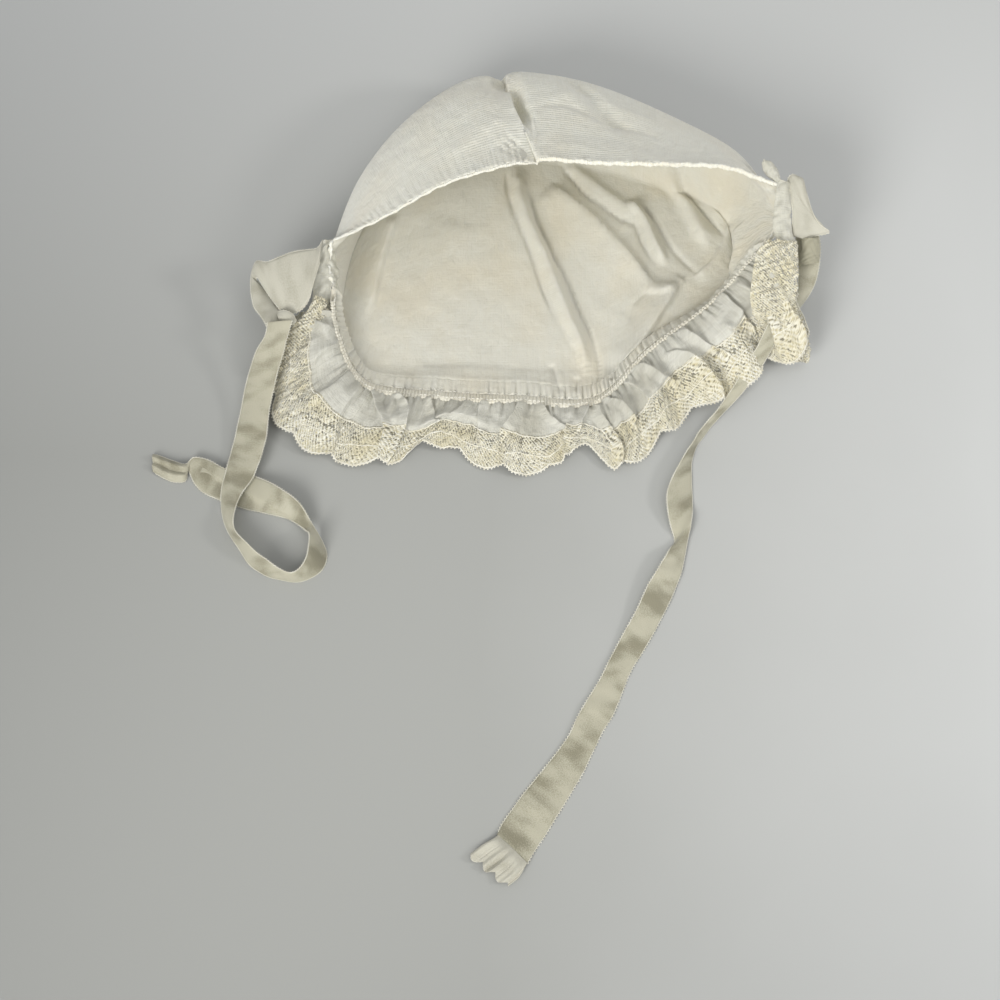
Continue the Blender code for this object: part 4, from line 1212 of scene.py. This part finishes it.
RIGHT_LACE = np.array([
    [768, 241, 33.5, 797, 242, 33.0],
    [758, 250, 33.0, 798, 257, 31.5],
    [754, 264, 31.5, 798, 272, 30.0],
    [752, 280, 29.5, 797, 288, 27.5],
    [750, 297, 27.0, 796, 303, 24.5],
    [753, 314, 22.5, 799, 318, 20.0],
    [765, 330, 17.5, 805, 332, 15.0],
    [777, 345, 12.0, 810, 346, 10.0],
    [789, 356,  7.0, 810, 357,  6.5],
    [797, 362,  6.0, 806, 363,  5.5],
])
LEFT_COLUMN = np.array([
    [324, 240, 26.5, 332, 240, 24.0],
    [318, 256, 25.0, 335, 256, 21.0],
    [314, 272, 22.5, 338, 272, 17.5],
    [313, 288, 19.0, 338, 290, 14.0],
    [312, 304, 15.5, 338, 307, 11.0],
    [309, 316, 13.0, 339, 322,  9.0],
])
LEFT_LACE = np.array([
    [316, 296, 18.5, 327, 300, 17.0],
    [306, 312, 17.0, 328, 314, 14.5],
    [293, 326, 15.5, 322, 328, 12.5],
    [284, 341, 13.0, 310, 343, 10.5],
    [276, 358, 10.0, 301, 360,  8.5],
    [272, 372,  7.5, 296, 375,  7.0],
])


def crumpled(points, height, fold):
    """Points pushed up and down along their normals by sines that cross, with
    crests about fold mm apart."""
    walk = walked(points.mean(1))[:, None] * 1000
    side = walked(points.mean(0))[None] * 1000
    wave = np.sin(walk / fold * 4.4 + 2 * np.sin(side / fold * 1.7))
    wave = wave * np.cos(side / fold * 5.0 + 1.4 * np.sin(walk / fold * 1.3))
    wave = wave + 0.6 * np.sin((walk + 0.8 * side) / fold * 7.1 + 2 * np.sin(walk / fold * 2.3))
    return points + surface_normals(points, 1) * (wave * height)[..., None]


sheer_lawn = cotton("sheer lawn", (0.66, 0.65, 0.57), (0.60, 0.58, 0.47), (0.54, 0.52, 0.41), 0.9, True,
                    crinkle=2.4, alpha=0.55, glow=0.3, cord=0.2)
aged_lace = lace_work("yellowed lace", (0.84, 0.815, 0.69), (0.79, 0.725, 0.51), 40.0)
corners = (
    # name, rows, finish, slot, height of the crumples in m, mm between them, and a flat size
    # chosen after the modelled piece
    ("right_strand_back", STRAND_SHADED_BACK, shaded_back_satin, "satin", 0.00010, 3.0, (0.010, 0.010)),
    ("right_ruffle_end", RIGHT_COLUMN, sheer_lawn, "ruffle_lawn", 0.00022, 5.5, (0.010, 0.028)),
    ("right_ruffle_cap", RIGHT_CAP, sheer_lawn, "ruffle_lawn", 0.00008, 2.5, None),
    ("right_lace_end", RIGHT_LACE, aged_lace, "lace", 0.00060, 4.0, (0.019, 0.056)),
    ("left_ruffle_end", LEFT_COLUMN, sheer_lawn, "ruffle_lawn", 0.00050, 5.0, (0.012, 0.036)),
    ("left_lace_end", LEFT_LACE, aged_lace, "lace", 0.00050, 3.5, (0.012, 0.036)),
)
patches = {}
for name, rows, finish, slot, height, fold, flat in corners:
    points = crumpled(ruled(rows, *CORNER_GRID, CORNER_BOW, tuck=False), height, fold)
    patch = add_cloth(name, points, RUFFLE_WALL)
    dress(patch, finish)
    patches[name] = (patch, flat)
cap = patches.pop("right_ruffle_cap")[0]
for name, (patch, flat) in patches.items():
    added = [cap] if name == "right_ruffle_end" else []

# Floor, light and camera
# A plain pale sheet, with painted shade that darkens it to the left and nearer the camera,
# under a soft window, a lower window on the right, a pale wall on the left, and a bright room all round.
floor_mesh = bpy.data.meshes.new("floor")
floor_mesh.from_pydata([(-3, -3, 0), (3, -3, 0), (3, 3, 0), (-3, 3, 0)], [], [(0, 1, 2, 3)])
floor = bpy.data.objects.new("floor", floor_mesh)
bpy.context.scene.collection.objects.link(floor)
floor_finish = bpy.data.materials.new("pale floor")
floor_finish.use_nodes = True
floor_shader = floor_finish.node_tree.nodes["Principled BSDF"]
floor_shader.inputs["Roughness"].default_value = 0.7
spin = Thread(floor_finish.node_tree)
spot = spin.node("ShaderNodeTexCoord", out=3)
parts = spin.node("ShaderNodeSeparateXYZ", None, {0: spot})
mottle = spin.node("ShaderNodeTexNoise", None, {"Vector": spot, "Scale": 9.0, "Detail": 4.0})
height = Thread(floor_finish.node_tree, parts.socket.node.outputs[1])
# Painted shade: the floor's colour darkens to the left and nearer the camera, with a little noise, in place
# of the light's fall-off.
painted_floor_shade = (0.90 - parts * 5.5 + (mottle - 0.5) * 0.30).clamped() * (0.72 - height * 4.2).clamped()
tone = spin.blend(painted_floor_shade, (0.55, 0.56, 0.55, 1), (0.355, 0.36, 0.342, 1))
tone.into(floor_shader, "Base Color")
floor_mesh.materials.append(floor_finish)


def add_light(name, place, aim, size, power, tone, fan=np.pi):
    """A round soft light at a place, turned to face its aim; fan is the angle
    that it shines over."""
    light = bpy.data.lights.new(name, "AREA")
    light.shape = "DISK"
    light.size = size
    light.energy = power
    light.color = tone
    light.spread = fan
    lamp = bpy.data.objects.new(name, light)
    lamp.location = place
    towards = np.subtract(aim, place)
    flat = np.hypot(towards[0], towards[1])
    lamp.rotation_euler = (np.arctan2(flat, -towards[2]), 0, np.arctan2(towards[1], towards[0]) - np.pi / 2)
    bpy.context.scene.collection.objects.link(lamp)


add_light("window", (0.36, -0.25, 1.0), (0, 0, 0), 0.9, 2.15, (1.0, 0.985, 0.955))
add_light("side_window", (0.80, -0.20, 0.50), (0.02, -0.1, 0), 0.16, 2.15, (1.0, 0.99, 0.97))
add_light("room_wall", (-0.34, -0.62, 0.42), (0.08, 0.03, 0.04), 0.4, 0.68, (1.0, 0.99, 0.97), np.radians(55))
world = bpy.data.worlds.new("room")
world.use_nodes = True
world.node_tree.nodes["Background"].inputs["Color"].default_value = (0.975, 0.985, 1.0, 1)
world.node_tree.nodes["Background"].inputs["Strength"].default_value = 0.505
bpy.context.scene.world = world
bpy.context.scene.view_settings.view_transform = "Standard"

camera = bpy.data.cameras.new("camera")
camera.lens = VIEW_LENS
camera.sensor_width = VIEW_SENSOR
viewer = bpy.data.objects.new("camera", camera)
viewer.location = VIEW_PLACE
viewer.rotation_euler = (VIEW_TILT, 0, 0)
bpy.context.scene.collection.objects.link(viewer)
bpy.context.scene.camera = viewer
